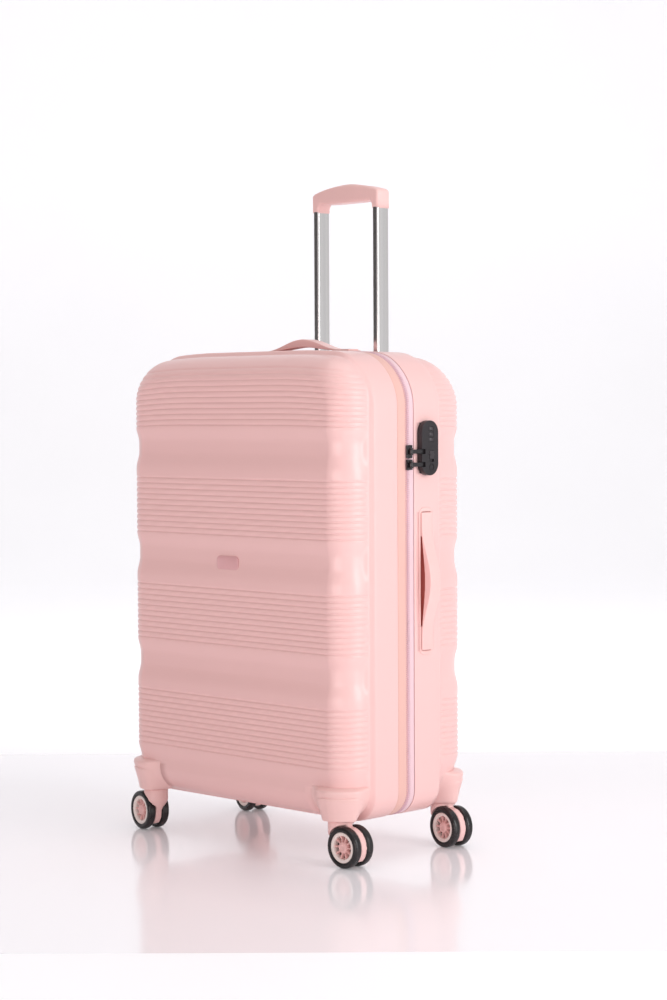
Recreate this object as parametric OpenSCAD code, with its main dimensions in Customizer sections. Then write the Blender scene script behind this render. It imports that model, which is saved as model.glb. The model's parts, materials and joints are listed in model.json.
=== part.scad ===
// Hard-shell suitcase on four twin-wheel casters, standing with its trolley pulled out.
// +Z is up, -Y is the front face and +X is the lock side.
// The origin is on the floor under the middle of the case. All sizes are in millimetres.

/* [Case] */
// Width across the zip rims
rim_w = 493; // [491:1:495]
// Height of the underside of the zip rims above the floor
rim_low = 60.5; // [60.5:0.5:61.5]
// Height of the top of the zip rims above the floor
rim_high = 744; // [742:1:746]
// Depth of the case from front face to back face
case_d = 278; // [278:1:280]
// How far the ribbed dish of each half sits inside its rim
dish_step = 6.5; // [6:0.5:7]
// Wall thickness of both shells
wall = 2.6; // [2.4:0.1:2.8]
// Depth of the smooth bands below the ribbed bands
band_recess = 4.5; // [3.5:0.5:5]
// Height of the lowest groove of the lowest ribbed band
band_low = 142.4; // [141:0.2:144]
// Spacing of the ribbed bands
band_pitch = 164.2; // [163:0.2:165]
// Height of one smooth band
smooth_h = 68; // [66:1:70]

/* [Zip] */
// Depth position of the line where the zip teeth meet
zip_y = -14; // [-15:0.5:-13]
// Depth position of the front shell's edge
front_edge_y = -35.5; // [-37:0.5:-34]
// Depth position of the back shell's edge
back_edge_y = -0.5; // [-1.5:0.5:0.5]

/* [Handles and lock] */
// Depth position of the handles and the lock
handle_y = 24; // [23:0.5:25]
// Length of a carry handle
handle_l = 202; // [196:2:206]
// Width of a carry handle
handle_w = 22; // [20:1:23]
// Height of the middle of the side handle
side_handle_z = 405; // [400:1:410]
// Height of the middle of the lock
lock_z = 600; // [595:1:605]
// Length of the lock
lock_l = 80; // [78:1:82]
// Width of the lock
lock_w = 35; // [34:0.5:36]

/* [Trolley] */
// Depth position of the trolley tubes
trolley_y = 121.5; // [120:0.5:121.5]
// Distance between the middles of the two tubes
trolley_gap = 129; // [126:1:132]
// Length of tube that shows above its cup at rest
trolley_reach = 258; // [240:2:260]

/* [Casters] */
// Diameter of a wheel
wheel_d = 60; // [59:0.5:60]
// Distance from the swivel axis to the axle
trail = 19; // [18:0.5:20]
// Swivel axis, distance from the middle along X
caster_x = 204; // [202:1:205]
// Swivel axis of the front casters, distance from the middle along Y
caster_front_y = 112; // [111:0.5:113]
// Swivel axis of the back casters, distance from the middle along Y
caster_back_y = 107; // [106:0.5:108]

/* [Hidden] */
$fn = 48;
eps = 0.01;
rim_hw = rim_w / 2;
dish_hw = rim_hw - dish_step;
dish_low = rim_low + dish_step;
dish_high = rim_high - dish_step;
face_d = case_d / 2;

// Corner radii of the rim and of the two dishes, [bottom, top]
rim_r = [42, 76];
front_r = [42, 62];
back_r = [66, 72];
// Radius of the edge that rounds each face into its sides
front_fillet = 36;
back_fillet = 62;
// Distance from the zip plane at which each rim steps down to its dish
front_step_d = 82;
back_step_d = 52;
// Length over which a rim steps down, and over which the bands then start
step_run = 7;
band_run = 15;
// Slopes of a smooth band below its upper and above its lower edge
scallop_top = 14;
scallop_bottom = 24;
// Half width of the flat channel that the trolley tubes need in the back face
channel_hw = 92;
channel_slope = 10;
arc_steps = 6;
fillet_steps = 5;

// Lining: thickness, gap to the shell and depth of its flat face in each half
lining_t = 1;
lining_gap = wall + band_recess + 0.5;
front_lining_edge = 50;
front_lining_face = 130.5;
back_lining_face = 103.5;
back_lining_fillet = 36;

// Corner blocks that the shells and linings leave to the caster housings
block_x = 166.5;
front_block_y = 87.5;
back_block_y = 75.5;
block_top = 114.5;

wheel_r = wheel_d / 2;
axle_r = 2.5;
kingpin_r = 5;
kingpin_h = 14;
run_gap = 0.06;
neck_top = rim_low + 5.5;
fork_r = 19;
web_t = 11;
wheel_in = 6;
wheel_out = 18.5;
rim_or = 24.5;
// Casters: [name, x sign, y sign, swivel distance along Y, heading of the trail in degrees]
CASTERS = [
    ["front_right", 1, -1, caster_front_y, 0],
    ["front_left", -1, -1, caster_front_y, 170],
    ["back_right", 1, 1, caster_back_y, -8],
    ["back_left", -1, 1, caster_back_y, 166]
];
// The two wheels of a caster: [name, side of the fork]
WHEELS = [["near", -1], ["far", 1]];
DIALS = [1, 2, 3];

tube_x = trolley_gap / 2;
inner_tube = [12, 26];
outer_tube = [15, 29];
tube_wall = 1.2;
cup_low = 680;
cup_hw = 80;
cup_front_y = 100;
outer_tube_low = 131;
stroke = trolley_reach;
inner_tube_low = outer_tube_low + stroke + 2;
grip_low = cup_low + 28 + stroke;
grip_end_h = 29;
grip_arch_h = 11;
button_travel = 4;

tray_hl = handle_l / 2 + 7;
tray_hw = handle_w / 2 + 3.5;
tray_depth = 12.5;
pull_z = [lock_z - 5, lock_z - 24];

pink = "#e9b9b5";
pale_pink = "#f3c9c6";
black = "#2e2a2e";
silver = "#c9c9cd";
grey = "#8d868c";

// ---- Outlines and moulded halves ----

// Share of the band recess just below a groove at height top
function scallop(z, top) =
    let (t = top - z)
    (t <= 0 || t >= smooth_h) ? 0 : min(1, t / scallop_top, (smooth_h - t) / scallop_bottom);

// How far the surface is recessed at height z
function recess(z) =
    band_recess * max(
        z < band_low ? min(1, (band_low - z) / scallop_top) : 0,
        max([for (k = [1:3]) scallop(z, band_low + k * band_pitch)])
    );

// Heights at which the side of a half changes slope
LEVELS = concat(
    [band_low],
    [for (k = [1:3]) for (t = [smooth_h, smooth_h - scallop_bottom, scallop_top, 0])
        band_low + k * band_pitch - t]
);

// Half widths of the flat channel, as columns from +X to -X
COLUMNS = [channel_hw + channel_slope, channel_hw, -channel_hw, -channel_hw - channel_slope];

// Right side of a rounded outline, bottom to top: [x, z, outward x, outward z]
function right_side(hw, low, high, r, levels) = concat(
    [for (i = [0:arc_steps]) let (a = -90 + 90 * i / arc_steps)
        [hw - r[0] + r[0] * cos(a), low + r[0] + r[0] * sin(a), cos(a), sin(a)]],
    [for (z = levels) [hw, z, 1, 0]],
    [for (i = [0:arc_steps]) let (a = 90 * i / arc_steps)
        [hw - r[1] + r[1] * cos(a), high - r[1] + r[1] * sin(a), cos(a), sin(a)]]
);

// Whole outline, counter-clockwise seen from the front, with the columns in its top and bottom edges
function outline(hw, low, high, r, levels) =
    let (right = right_side(hw, low, high, r, levels))
    concat(
        right,
        [for (x = COLUMNS) [x, high, 0, 1]],
        [for (i = [len(right) - 1:-1:0]) [-right[i][0], right[i][1], -right[i][2], right[i][3]]],
        [for (x = COLUMNS) [-x, low, 0, -1]]
    );

// Rings of a half, each [outline, depth, inset, tilt towards the face, share of the band recess]
function fillet_rings(shape, face, r, wave) =
    [for (k = [0:fillet_steps]) let (t = 90 * k / fillet_steps)
        [shape, face - r * (1 - sin(t)), r * (1 - cos(t)), t, wave]];

function shell_rings(edge, step_d, r, fillet) =
    let (rim = outline(rim_hw, rim_low, rim_high, rim_r, LEVELS),
         dish = outline(dish_hw, dish_low, dish_high, r, LEVELS))
    concat(
        [[rim, edge, 0, 0, 0], [rim, step_d, 0, 0, 0], [dish, step_d + step_run, 0, 0, 0],
         [dish, step_d + band_run, 0, 0, 1]],
        fillet_rings(dish, face_d, fillet, 1)
    );

function lining_rings(edge, face, r, fillet) =
    let (dish = outline(dish_hw, dish_low, dish_high, r, []))
    concat([[dish, edge, 0, 0, 0]], fillet_rings(dish, face, fillet, 0));

// One point of a ring, sunk below the surface by the distance off
function ring_point(ring, p, off) =
    let (sunk = off + ring[4] * recess(p[1]), s = ring[2] + sunk * cos(ring[3]))
    [p[0] - p[2] * s, ring[1] - sunk * sin(ring[3]), p[1] - p[3] * s];

// The same point, but with no band recess where the face ring crosses the flat channel
function face_point(ring, p, x, off, channel) =
    let (q = ring_point(ring, p, off), flat = channel && ring[3] == 90 && abs(x) == channel_hw)
    [x, flat ? ring[1] - off : q[1], q[2]];

function skin_points(rings, off, channel) =
    let (side = (len(rings[0][0]) - 8) / 2, last = rings[len(rings) - 1])
    concat(
        [for (ring = rings) for (p = ring[0])
            p[2] == 0 && abs(p[0]) <= COLUMNS[0]
                ? face_point(ring, p, p[0], off, channel)
                : ring_point(ring, p, off)],
        [for (j = [1:side - 2]) for (x = COLUMNS) face_point(last, last[0][j], x, off, channel)]
    );

function quad(a, b, c, d) = [[a, b, c], [a, c, d]];

// Point of the face grid in row j and column c, for a ring of n points that starts at index last
function grid(n, last, j, c) =
    let (side = (n - 8) / 2)
    c == 0 ? last + j
    : c == 5 ? last + 2 * side + 3 - j
    : j == 0 ? last + n - c
    : j == side - 1 ? last + side + c - 1
    : last + n + 4 * (j - 1) + c - 1;

// Triangles of one skin, clockwise seen from outside, its points starting at index s
function skin_faces(n_rings, n, s) =
    let (last = s + (n_rings - 1) * n)
    concat(
        [for (k = [0:n_rings - 2]) for (j = [0:n - 1]) let (a = s + k * n, j2 = (j + 1) % n)
            each quad(a + j, a + j2, a + n + j2, a + n + j)],
        [for (j = [0:(n - 8) / 2 - 2]) for (c = [0:4])
            each quad(
                grid(n, last, j, c), grid(n, last, j + 1, c),
                grid(n, last, j + 1, c + 1), grid(n, last, j, c + 1)
            )]
    );

function reversed(faces) = [for (f = faces) [f[2], f[1], f[0]]];

// Open tray between two skins, opening towards -Y
module tray(rings, outer_off, inner_off, channel) {
    n = len(rings[0][0]);
    outer = skin_points(rings, outer_off, channel);
    inner = skin_points(rings, inner_off, channel);
    m = len(outer);
    polyhedron(
        points = concat(outer, inner),
        faces = concat(
            skin_faces(len(rings), n, 0),
            reversed(skin_faces(len(rings), n, m)),
            [for (j = [0:n - 1]) let (j2 = (j + 1) % n) each quad(j, m + j, m + j2, j2)]
        ),
        convexity = 8
    );
}

// Solid block inside one skin
module block(rings, off) {
    n = len(rings[0][0]);
    polyhedron(
        points = skin_points(rings, off, false),
        faces = concat(
            skin_faces(len(rings), n, 0),
            [for (j = [2:n - 1]) [1, (j + 1) % n, j]]
        ),
        convexity = 6
    );
}

// The corner blocks of one half, grown by g
module corner_blocks(block_y, g) {
    for (s = [-1, 1])
        scale([s, 1, 1])
            translate([block_x - g, block_y - g, 0])
                cube([120, 120, block_top + g]);
}

// Flat rounded outline in the XZ plane, inset from the rim, drawn in 2D
module rim_2d(inset) {
    hw = rim_hw - inset;
    low = rim_low + inset;
    high = rim_high - inset;
    rb = rim_r[0] - inset;
    rt = rim_r[1] - inset;
    translate([-hw, low + rb])
        square([2 * hw, high - low - rb - rt]);
    translate([-hw + rb, low])
        square([2 * (hw - rb), rb + eps]);
    translate([-hw + rt, high - rt - eps])
        square([2 * (hw - rt), rt + eps]);
    for (s = [-1, 1]) {
        translate([s * (hw - rb), low + rb])
            circle(rb);
        translate([s * (hw - rt), high - rt])
            circle(rt);
    }
}

// Extrudes an XZ outline from depth y0 to depth y1
module along_y(y0, y1) {
    translate([0, y1, 0])
        rotate([90, 0, 0])
            linear_extrude(y1 - y0)
                children();
}

// Band that follows the rim, from inset a to inset b and from depth y0 to depth y1
module rim_band(a, b, y0, y1) {
    along_y(y0, y1)
        difference() {
            rim_2d(a);
            rim_2d(b);
        }
}

// Stretch of the -X side that the zip leaves to the hinge strip
hinge_z = [132, 668];

module zip_side_only() {
    difference() {
        children();
        translate([-rim_hw - 5, -80, hinge_z[0]])
            cube([40, 160, hinge_z[1] - hinge_z[0]]);
    }
}

// ---- Front half ----

module front_shell() {
    color(pink)
        mirror([0, 1, 0])
            difference() {
                tray(shell_rings(-front_edge_y, front_step_d, front_r, front_fillet), 0, wall, false);
                corner_blocks(front_block_y, 0);
                mirror([0, 1, 0])
                    badge_plate(0.1);
            }
}

module front_lining() {
    rings = lining_rings(front_lining_edge, front_lining_face + lining_gap, front_r, front_fillet);
    inner_rings = lining_rings(
        front_lining_edge - 1, front_lining_face + lining_gap, front_r, front_fillet);
    color(grey)
        mirror([0, 1, 0])
            difference() {
                block(rings, lining_gap);
                corner_blocks(front_block_y, 1);
                difference() {
                    block(inner_rings, lining_gap + lining_t);
                    corner_blocks(front_block_y, 1 + lining_t);
                }
            }
}

zip_flange = [wall + 0.1, wall + 1.3];
zip_strip = [0.8, wall + 0.1];
bead_t = 3.7;
bead_gap = 0.3;

module front_zip() {
    color(pale_pink)
        zip_side_only() {
            rim_band(zip_flange[0], zip_flange[1], front_edge_y - 10, zip_y - bead_t);
            rim_band(zip_strip[0], zip_strip[1], front_edge_y + 0.3, zip_y - bead_t);
            rim_band(0.2, zip_flange[1], zip_y - bead_t, zip_y - bead_gap);
        }
}

module back_zip() {
    color(pale_pink)
        zip_side_only() {
            rim_band(zip_flange[0], zip_flange[1], zip_y + bead_t, back_edge_y + 9);
            rim_band(zip_strip[0], zip_strip[1], zip_y + bead_t, back_edge_y - 0.3);
            rim_band(0.2, zip_flange[1], zip_y + bead_gap, zip_y + bead_t);
        }
}

module hinge_strip() {
    color(pale_pink)
        translate([-rim_hw + zip_strip[0], front_edge_y + 0.3, hinge_z[0] + 0.5])
            cube([
                zip_strip[1] - zip_strip[0],
                back_edge_y - front_edge_y - 0.6,
                hinge_z[1] - hinge_z[0] - 1
            ]);
}

module divider_panel() {
    color(grey)
        along_y(-front_lining_edge + 2, -front_lining_edge + 5.5)
            rim_2d(zip_flange[1] + 0.2);
}

badge_size = [47, 20.5];
badge_at = [-8, 428.5];
badge_back_y = -face_d + band_recess - 0.1;
badge_t = 1.7;
badge_r = 6;

// Rounded plate grown by g, for the badge and for its seat in the shell
module badge_plate(g) {
    w = badge_size[0] + 2 * g;
    h = badge_size[1] + 2 * g;
    along_y(badge_back_y - badge_t - g, badge_back_y + g)
        translate(badge_at) {
            square([w - 2 * badge_r, h], center = true);
            square([w, h - 2 * badge_r], center = true);
            for (sx = [-1, 1])
                for (sz = [-1, 1])
                    translate([sx * (w / 2 - badge_r), sz * (h / 2 - badge_r)])
                        circle(badge_r);
        }
}

module badge() {
    color("#d79a9d")
        badge_plate(0);
}

// ---- Back half ----

module tray_cutout() {
    translate([-tray_hl + 5.7, -tray_hw + 1.7, -tray_depth - 1])
        cube([2 * tray_hl - 11.4, 2 * tray_hw - 3.4, 40]);
}

// Moves a carry handle part, drawn on a flat top at z = 0, to the top or to the +X side
module on_top() {
    translate([0, handle_y, rim_high])
        children();
}

module on_side() {
    translate([rim_hw, handle_y, side_handle_z])
        rotate([0, 90, 0])
            children();
}

module back_shell() {
    color(pink)
        difference() {
            tray(shell_rings(back_edge_y, back_step_d, back_r, back_fillet), 0, wall, true);
            corner_blocks(back_block_y, 0);
            on_top()
                tray_cutout();
            on_side()
                tray_cutout();
            translate([rim_hw - 15, handle_y - lock_w / 2 + 3, lock_z - lock_l / 2 + 3])
                cube([30, lock_w - 6, lock_l - 6]);
            translate([-cup_hw - 0.3, cup_front_y - 0.3, cup_low - 0.3])
                cube([2 * cup_hw + 0.6, 60, 100]);
        }
}

module back_lining() {
    rings = lining_rings(back_edge_y + 1, back_lining_face + lining_gap, back_r, back_lining_fillet);
    inner_rings = lining_rings(back_edge_y, back_lining_face + lining_gap, back_r, back_lining_fillet);
    color(grey)
        difference() {
            block(rings, lining_gap);
            corner_blocks(back_block_y, 1);
            difference() {
                block(inner_rings, lining_gap + lining_t);
                corner_blocks(back_block_y, 1 + lining_t);
            }
            translate([-cup_hw - 0.5, cup_front_y - 1, cup_low - 1])
                cube([2 * cup_hw + 1, 60, 100]);
        }
}

strap_y = 14;
strap_w = 25;
strap_t = 1.6;
buckle_z = 400;
buckle_size = [64, 9, 52];

// One strap from its anchor in the lining to the buckle
module strap(anchor_x, anchor_z) {
    start = [sign(anchor_x) * 18, buckle_z + sign(anchor_z - buckle_z) * buckle_size[2] / 2];
    reach = norm([anchor_x, anchor_z] - start);
    turn = atan2(anchor_z - start[1], anchor_x - start[0]);
    translate([start[0], strap_y, start[1]])
        rotate([0, -turn, 0])
            translate([0, 0, -strap_w / 2])
                cube([reach, strap_t, strap_w]);
}

module packing_straps() {
    inner_low = dish_low + lining_gap + lining_t;
    inner_high = dish_high - lining_gap - lining_t;
    color(grey)
        intersection() {
            for (sx = [-1, 1]) {
                strap(sx * 140, inner_high + 20);
                strap(sx * 130, inner_low - 20);
            }
            translate([-200, 0, inner_low + 0.2])
                cube([400, 40, inner_high - inner_low - 0.4]);
        }
}

module strap_buckle() {
    color(black)
        difference() {
            translate([0, strap_y + strap_t / 2, buckle_z])
                cube(buckle_size, center = true);
            translate([0, strap_y + strap_t / 2, buckle_z])
                rotate([90, 0, 0])
                    cylinder(h = 20, r = 9, center = true);
            for (sx = [-1, 1])
                for (sz = [-1, 1])
                    translate([sx * 18, strap_y + strap_t / 2, buckle_z + sz * buckle_size[2] / 2])
                        cube([34, strap_t + 0.4, 12], center = true);
        }
}

// ---- Carry handles ----

bell_hw = 80;
function bell(x) = abs(x) < bell_hw ? (1 + cos(180 * x / bell_hw)) / 2 : 0;
handle_foot = 66;
handle_end_h = 3.5;
handle_rise = 16.7;
gap_end_h = 1.5;
gap_rise = 6.3;

// Arched grip whose feet stand in the tray, drawn above a flat top at z = 0
module carry_handle() {
    hl = handle_l / 2;
    upper = [for (x = [hl:-hl / 20:-hl]) [x, handle_end_h + handle_rise * bell(x)]];
    lower = [for (x = [-handle_foot:handle_foot / 12:handle_foot]) [x, gap_end_h + gap_rise * bell(x)]];
    feet_z = -tray_depth + 2.5;
    rotate([90, 0, 0])
        linear_extrude(handle_w, center = true)
            polygon(concat(
                upper,
                [[-hl, feet_z], [-handle_foot, feet_z]],
                lower,
                [[handle_foot, feet_z], [hl, feet_z]]
            ));
}

// Recessed tray with a thin lip
module handle_tray() {
    lip = 1.2;
    t = 2;
    difference() {
        union() {
            translate([-tray_hl, -tray_hw, 0.05])
                cube([2 * tray_hl, 2 * tray_hw, lip]);
            translate([-tray_hl + 6, -tray_hw + 2, -tray_depth])
                cube([2 * tray_hl - 12, 2 * tray_hw - 4, tray_depth + lip]);
        }
        translate([-handle_l / 2 - 0.6, -handle_w / 2 - 0.6, -tray_depth + t])
            cube([handle_l + 1.2, handle_w + 1.2, 30]);
    }
}

module top_handle() {
    color(pink)
        on_top()
            carry_handle();
}

module side_handle() {
    color(pink)
        on_side()
            carry_handle();
}

module top_handle_base() {
    color(pink)
        on_top()
            handle_tray();
}

module side_handle_base() {
    color(pink)
        on_side()
            handle_tray();
}

// ---- Lock and zip pulls ----

lock_face_x = rim_hw + 9.5;
lock_back_x = rim_hw - 11;
dial_r = 8;
dial_t = 5;
dial_x = lock_face_x - dial_r + 1.1;
dial_y = handle_y + 3;
function dial_z(d) = lock_z + 4 + 8 * d;
slide_z = lock_z - 10;
slide_size = [3, 9, 12];
post_x = rim_hw + 5.2;
post_y = zip_y + 2;
post_r = 1.2;
puller_h = 6;

// Extrudes a YZ outline from x0 to x1
module along_x(x0, x1) {
    translate([x0, 0, 0])
        rotate([90, 0, 90])
            linear_extrude(x1 - x0)
                children();
}

module lock_outline(inset) {
    r = lock_w / 2 - inset;
    reach = lock_l / 2 - lock_w / 2;
    translate([handle_y, lock_z]) {
        square([2 * r, 2 * reach], center = true);
        for (s = [-1, 1])
            translate([0, s * reach])
                circle(r);
    }
}

module lock_body() {
    color(black)
        difference() {
            union() {
                along_x(rim_hw + 0.1, lock_face_x)
                    lock_outline(0);
                along_x(lock_back_x, rim_hw + 0.2)
                    lock_outline(4.5);
            }
            for (d = DIALS)
                translate([dial_x, dial_y, dial_z(d) - dial_t / 2 - 0.3])
                    difference() {
                        cylinder(h = dial_t + 0.6, r = dial_r + 0.4);
                        translate([0, 0, -1])
                            cylinder(h = dial_t + 3, r = 1.5);
                    }
            for (z = pull_z)
                translate([rim_hw + 3, handle_y - lock_w / 2 - 1, z - puller_h / 2 - 0.6])
                    cube([20, 8.5, puller_h + 1.2]);
            translate([lock_face_x - slide_size[0] + 0.6, dial_y - slide_size[1] / 2 - 0.4,
                       slide_z - slide_size[2] / 2 - 4.4])
                cube([10, slide_size[1] + 0.8, slide_size[2] + 4.8]);
            translate([lock_face_x - 1, dial_y, lock_z - 28])
                rotate([0, 90, 0])
                    difference() {
                        cylinder(h = 3, r = 5);
                        translate([0, 0, -1])
                            cylinder(h = 5, r = 4);
                    }
        }
}

module lock_dial(d) {
    color("#4a464a")
        translate([dial_x, dial_y, dial_z(d) - dial_t / 2])
            difference() {
                cylinder(h = dial_t, r = dial_r);
                translate([0, 0, -1])
                    cylinder(h = dial_t + 2, r = 1.5 + run_gap);
            }
}

module lock_slide() {
    color("#4a464a")
        translate([
            lock_face_x - slide_size[0] + 0.7, dial_y - slide_size[1] / 2, slide_z - slide_size[2] / 2
        ]) {
            cube(slide_size);
            translate([slide_size[0] - eps, 0, slide_size[2] / 2 - 1])
                cube([1.2, slide_size[1], 2]);
        }
}

// Slider plate over the teeth, with two lugs and a post for its puller
module zip_slider(z, h) {
    plate_x = rim_hw + 0.3;
    plate_t = 1.9;
    lug = 1.6;
    translate([plate_x, post_y - 6, z - h / 2])
        cube([plate_t, 12, h]);
    for (s = [-1, 1])
        translate([plate_x + plate_t - 0.1, post_y - 2.4, z + s * (puller_h / 2 + 0.3 + lug / 2) - lug / 2])
            cube([post_x + 2.4 - plate_x - plate_t, 4.8, lug]);
    translate([post_x, post_y, z - puller_h / 2 - 1])
        cylinder(h = puller_h + 2, r = post_r);
}

module zip_sliders() {
    color(black) {
        zip_slider(pull_z[0], 19);
        zip_slider(pull_z[1], 15);
    }
}

module zip_puller(z) {
    tip_y = handle_y - lock_w / 2 + 6.8;
    color(black)
        translate([post_x, post_y, z - puller_h / 2])
            difference() {
                union() {
                    cylinder(h = puller_h, r = 2.7);
                    translate([-1.3, 0, 0])
                        cube([2.6, tip_y - post_y, puller_h]);
                }
                translate([0, 0, -1])
                    cylinder(h = puller_h + 2, r = post_r + run_gap);
            }
}

// ---- Trolley ----

// Rounded rectangle, its long side along Y
module tube_2d(size, grow) {
    r = 3;
    w = size[0] + 2 * grow;
    l = size[1] + 2 * grow;
    square([w, l - 2 * r], center = true);
    square([w - 2 * r, l], center = true);
    for (sx = [-1, 1])
        for (sy = [-1, 1])
            translate([sx * (w / 2 - r), sy * (l / 2 - r)])
                circle(r);
}

module at_tubes() {
    for (s = [-1, 1])
        translate([s * tube_x, trolley_y, 0])
            children();
}

module pipe(size, low, high, cavity) {
    translate([0, 0, low])
        linear_extrude(high - low)
            difference() {
                tube_2d(size, 0);
                tube_2d(size, -cavity);
            }
}

pin_r = 2.5;
pin_z = inner_tube_low + 8;

module trolley_outer_tubes() {
    color(silver)
        at_tubes()
            difference() {
                pipe(outer_tube, outer_tube_low, cup_low - 0.4, tube_wall);
                for (z = [pin_z, pin_z - stroke])
                    translate([0, -outer_tube[1] / 2, z])
                        rotate([90, 0, 0])
                            cylinder(h = 6, r = pin_r + 0.1, center = true);
            }
}

module trolley_inner_tubes() {
    color(silver)
        at_tubes()
            difference() {
                pipe(inner_tube, inner_tube_low, grip_low + 6, tube_wall);
                translate([0, -inner_tube[1] / 2, pin_z])
                    rotate([90, 0, 0])
                        cylinder(h = 6, r = pin_r + run_gap, center = true);
            }
}

// Pins that the rods draw in; their tips lie flush with the tubes
module trolley_lock_pins() {
    color(silver)
        at_tubes()
            translate([0, -inner_tube[1] / 2 + 0.1, pin_z])
                rotate([-90, 0, 0])
                    cylinder(h = 14, r = pin_r);
}

// Recess in the top of the back shell that takes the grip when the trolley is down
module trolley_cup() {
    t = 2.5;
    color(pink)
        difference() {
            intersection() {
                translate([-cup_hw, cup_front_y, cup_low])
                    cube([2 * cup_hw, 60, 80]);
                translate([0, face_d - back_fillet, dish_high - back_fillet])
                    rotate([0, 90, 0])
                        cylinder(h = 400, r = back_fillet, center = true, $fn = 96);
            }
            translate([-cup_hw + t, cup_front_y + t, cup_low + 3])
                cube([2 * (cup_hw - t), 60, 80]);
            at_tubes()
                translate([0, 0, cup_low - 1])
                    linear_extrude(10)
                        tube_2d(inner_tube, 0.3);
        }
}

module trolley_bracket() {
    color(black)
        difference() {
            translate([-tube_x - 16, trolley_y - outer_tube[1] / 2 - 3, outer_tube_low - 9])
                cube([2 * tube_x + 32, 28.5, 20]);
            at_tubes()
                translate([0, 0, outer_tube_low - 0.1])
                    linear_extrude(30)
                        tube_2d(outer_tube, 0.1);
            translate([-tube_x + 14, 0, outer_tube_low - 4])
                cube([2 * tube_x - 28, 400, 40]);
        }
}

grip_w = 28;
grip_hl = tube_x + 7.5;
bar_t = 19;
button_hl = 20;
button_w = 16;
grip_top = grip_low + grip_end_h;
cavity_z = grip_top - bar_t + 6;

// Height of the grip's upper edge
function grip_edge(x) = grip_top + grip_arch_h * (1 - pow(abs(x) / grip_hl, 2));

module trolley_grip() {
    upper = [for (i = [-20:20]) let (x = -i * grip_hl / 20) [x, grip_edge(x)]];
    under = [for (i = [-10:10]) let (x = i * (tube_x - 7) / 10)
        [x, grip_edge(x) - bar_t - 9 * (1 - pow(abs(i) / 10, 2))]];
    color(pink)
        difference() {
            along_y(trolley_y - grip_w / 2, trolley_y + grip_w / 2)
                polygon(concat(
                    upper,
                    [[-grip_hl, grip_low], [-tube_x + 7, grip_low]],
                    under,
                    [[tube_x - 7, grip_low], [grip_hl, grip_low]]
                ));
            at_tubes()
                translate([0, 0, grip_low - 1])
                    linear_extrude(7)
                        tube_2d(inner_tube, 0);
            translate([-tube_x - 4, trolley_y - 5, grip_low + 5.9])
                cube([8, 10, cavity_z + 8 - grip_low - 5.9]);
            translate([tube_x - 4, trolley_y - 5, grip_low + 5.9])
                cube([8, 10, cavity_z + 8 - grip_low - 5.9]);
            translate([-tube_x - 4, trolley_y - 5, cavity_z - button_travel - 1])
                cube([2 * tube_x + 8, 10, 13]);
            translate([-button_hl - 0.4, trolley_y - button_w / 2 - 0.4, cavity_z + 1])
                cube([2 * button_hl + 0.8, button_w + 0.8, 40]);
        }
}

module trolley_button() {
    upper = [for (i = [-8:8]) let (x = -i * button_hl / 8) [x, grip_edge(x) + 1]];
    low = cavity_z + button_travel + 2;
    color(pale_pink)
        along_y(trolley_y - button_w / 2, trolley_y + button_w / 2)
            polygon(concat(upper, [[-button_hl, low], [button_hl, low]]));
}

// Rods from the button down to the lock pins, joined by a bar under the button
module trolley_push_rods() {
    bar_z = cavity_z + 1;
    color(silver) {
        at_tubes()
            translate([0, 0, pin_z + 9])
                cylinder(h = bar_z - pin_z - 8, r = 2);
        translate([-tube_x - 3, trolley_y - 4, bar_z])
            cube([2 * tube_x + 6, 8, 3]);
        translate([-6, trolley_y - 4, bar_z])
            cube([12, 8, button_travel + 1]);
    }
}

// ---- Casters ----

// Plan of a corner housing grown by p, from its inner corner outwards
module housing_plan(block_y, r, p, inner) {
    intersection() {
        union() {
            square([dish_hw + p, face_d - r]);
            square([dish_hw - r, face_d + p]);
            translate([dish_hw - r, face_d - r])
                circle(r + p, $fn = 64);
        }
        translate([block_x + 0.5 + inner, block_y + 0.5 + inner])
            square(200);
    }
}

housing_lip = 8;
lip_z = [106.5, 110.5];
housing_top = block_top + 2.5;

// Corner guard with its swivel boss
module caster_housing(c) {
    front = c[2] < 0;
    r = front ? front_fillet : back_fillet;
    block_y = front ? front_block_y : back_block_y;
    step_d = front ? front_step_d : back_step_d;
    hug = -band_recess + 0.3;
    color(pink)
        scale([c[1], c[2], 1])
            difference() {
                union() {
                    difference() {
                        hull() {
                            translate([0, 0, neck_top + 0.3])
                                linear_extrude(0.5)
                                    housing_plan(block_y, r, -2, 0);
                            translate([0, 0, lip_z[0]])
                                linear_extrude(lip_z[1] - lip_z[0])
                                    housing_plan(block_y, r, housing_lip, 0);
                            translate([0, 0, housing_top - 0.5])
                                linear_extrude(0.5)
                                    housing_plan(block_y, r, hug + 1, 0);
                        }
                        hull() {
                            translate([0, 0, neck_top + 4])
                                linear_extrude(0.5)
                                    housing_plan(block_y, r, -6, 3);
                            translate([0, 0, lip_z[0]])
                                linear_extrude(40)
                                    housing_plan(block_y, r, hug, 3);
                        }
                        // the front face's flatter corner stands a little further out
                        translate([0, 0, block_top - 1])
                            linear_extrude(10)
                                housing_plan(block_y, r, front ? hug + 1.3 : hug, -2);
                        // room for the part of the shell that is not yet recessed
                        translate([0, 0, block_top - 0.3])
                            cube([300, step_d + band_run + 0.5, 20]);
                    }
                    translate([caster_x, c[3], neck_top + 0.3])
                        cylinder(h = 18, r = 13);
                }
                // bore of the kingpin
                translate([caster_x, c[3], neck_top - 1])
                    cylinder(h = kingpin_h + 1.5, r = kingpin_r + run_gap);
            }
}

// Puts a caster part, drawn about its swivel axis with the trail along +X, in its place
module at_caster(c) {
    translate([c[1] * caster_x, c[2] * c[3], 0])
        rotate(c[4])
            children();
}

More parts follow.
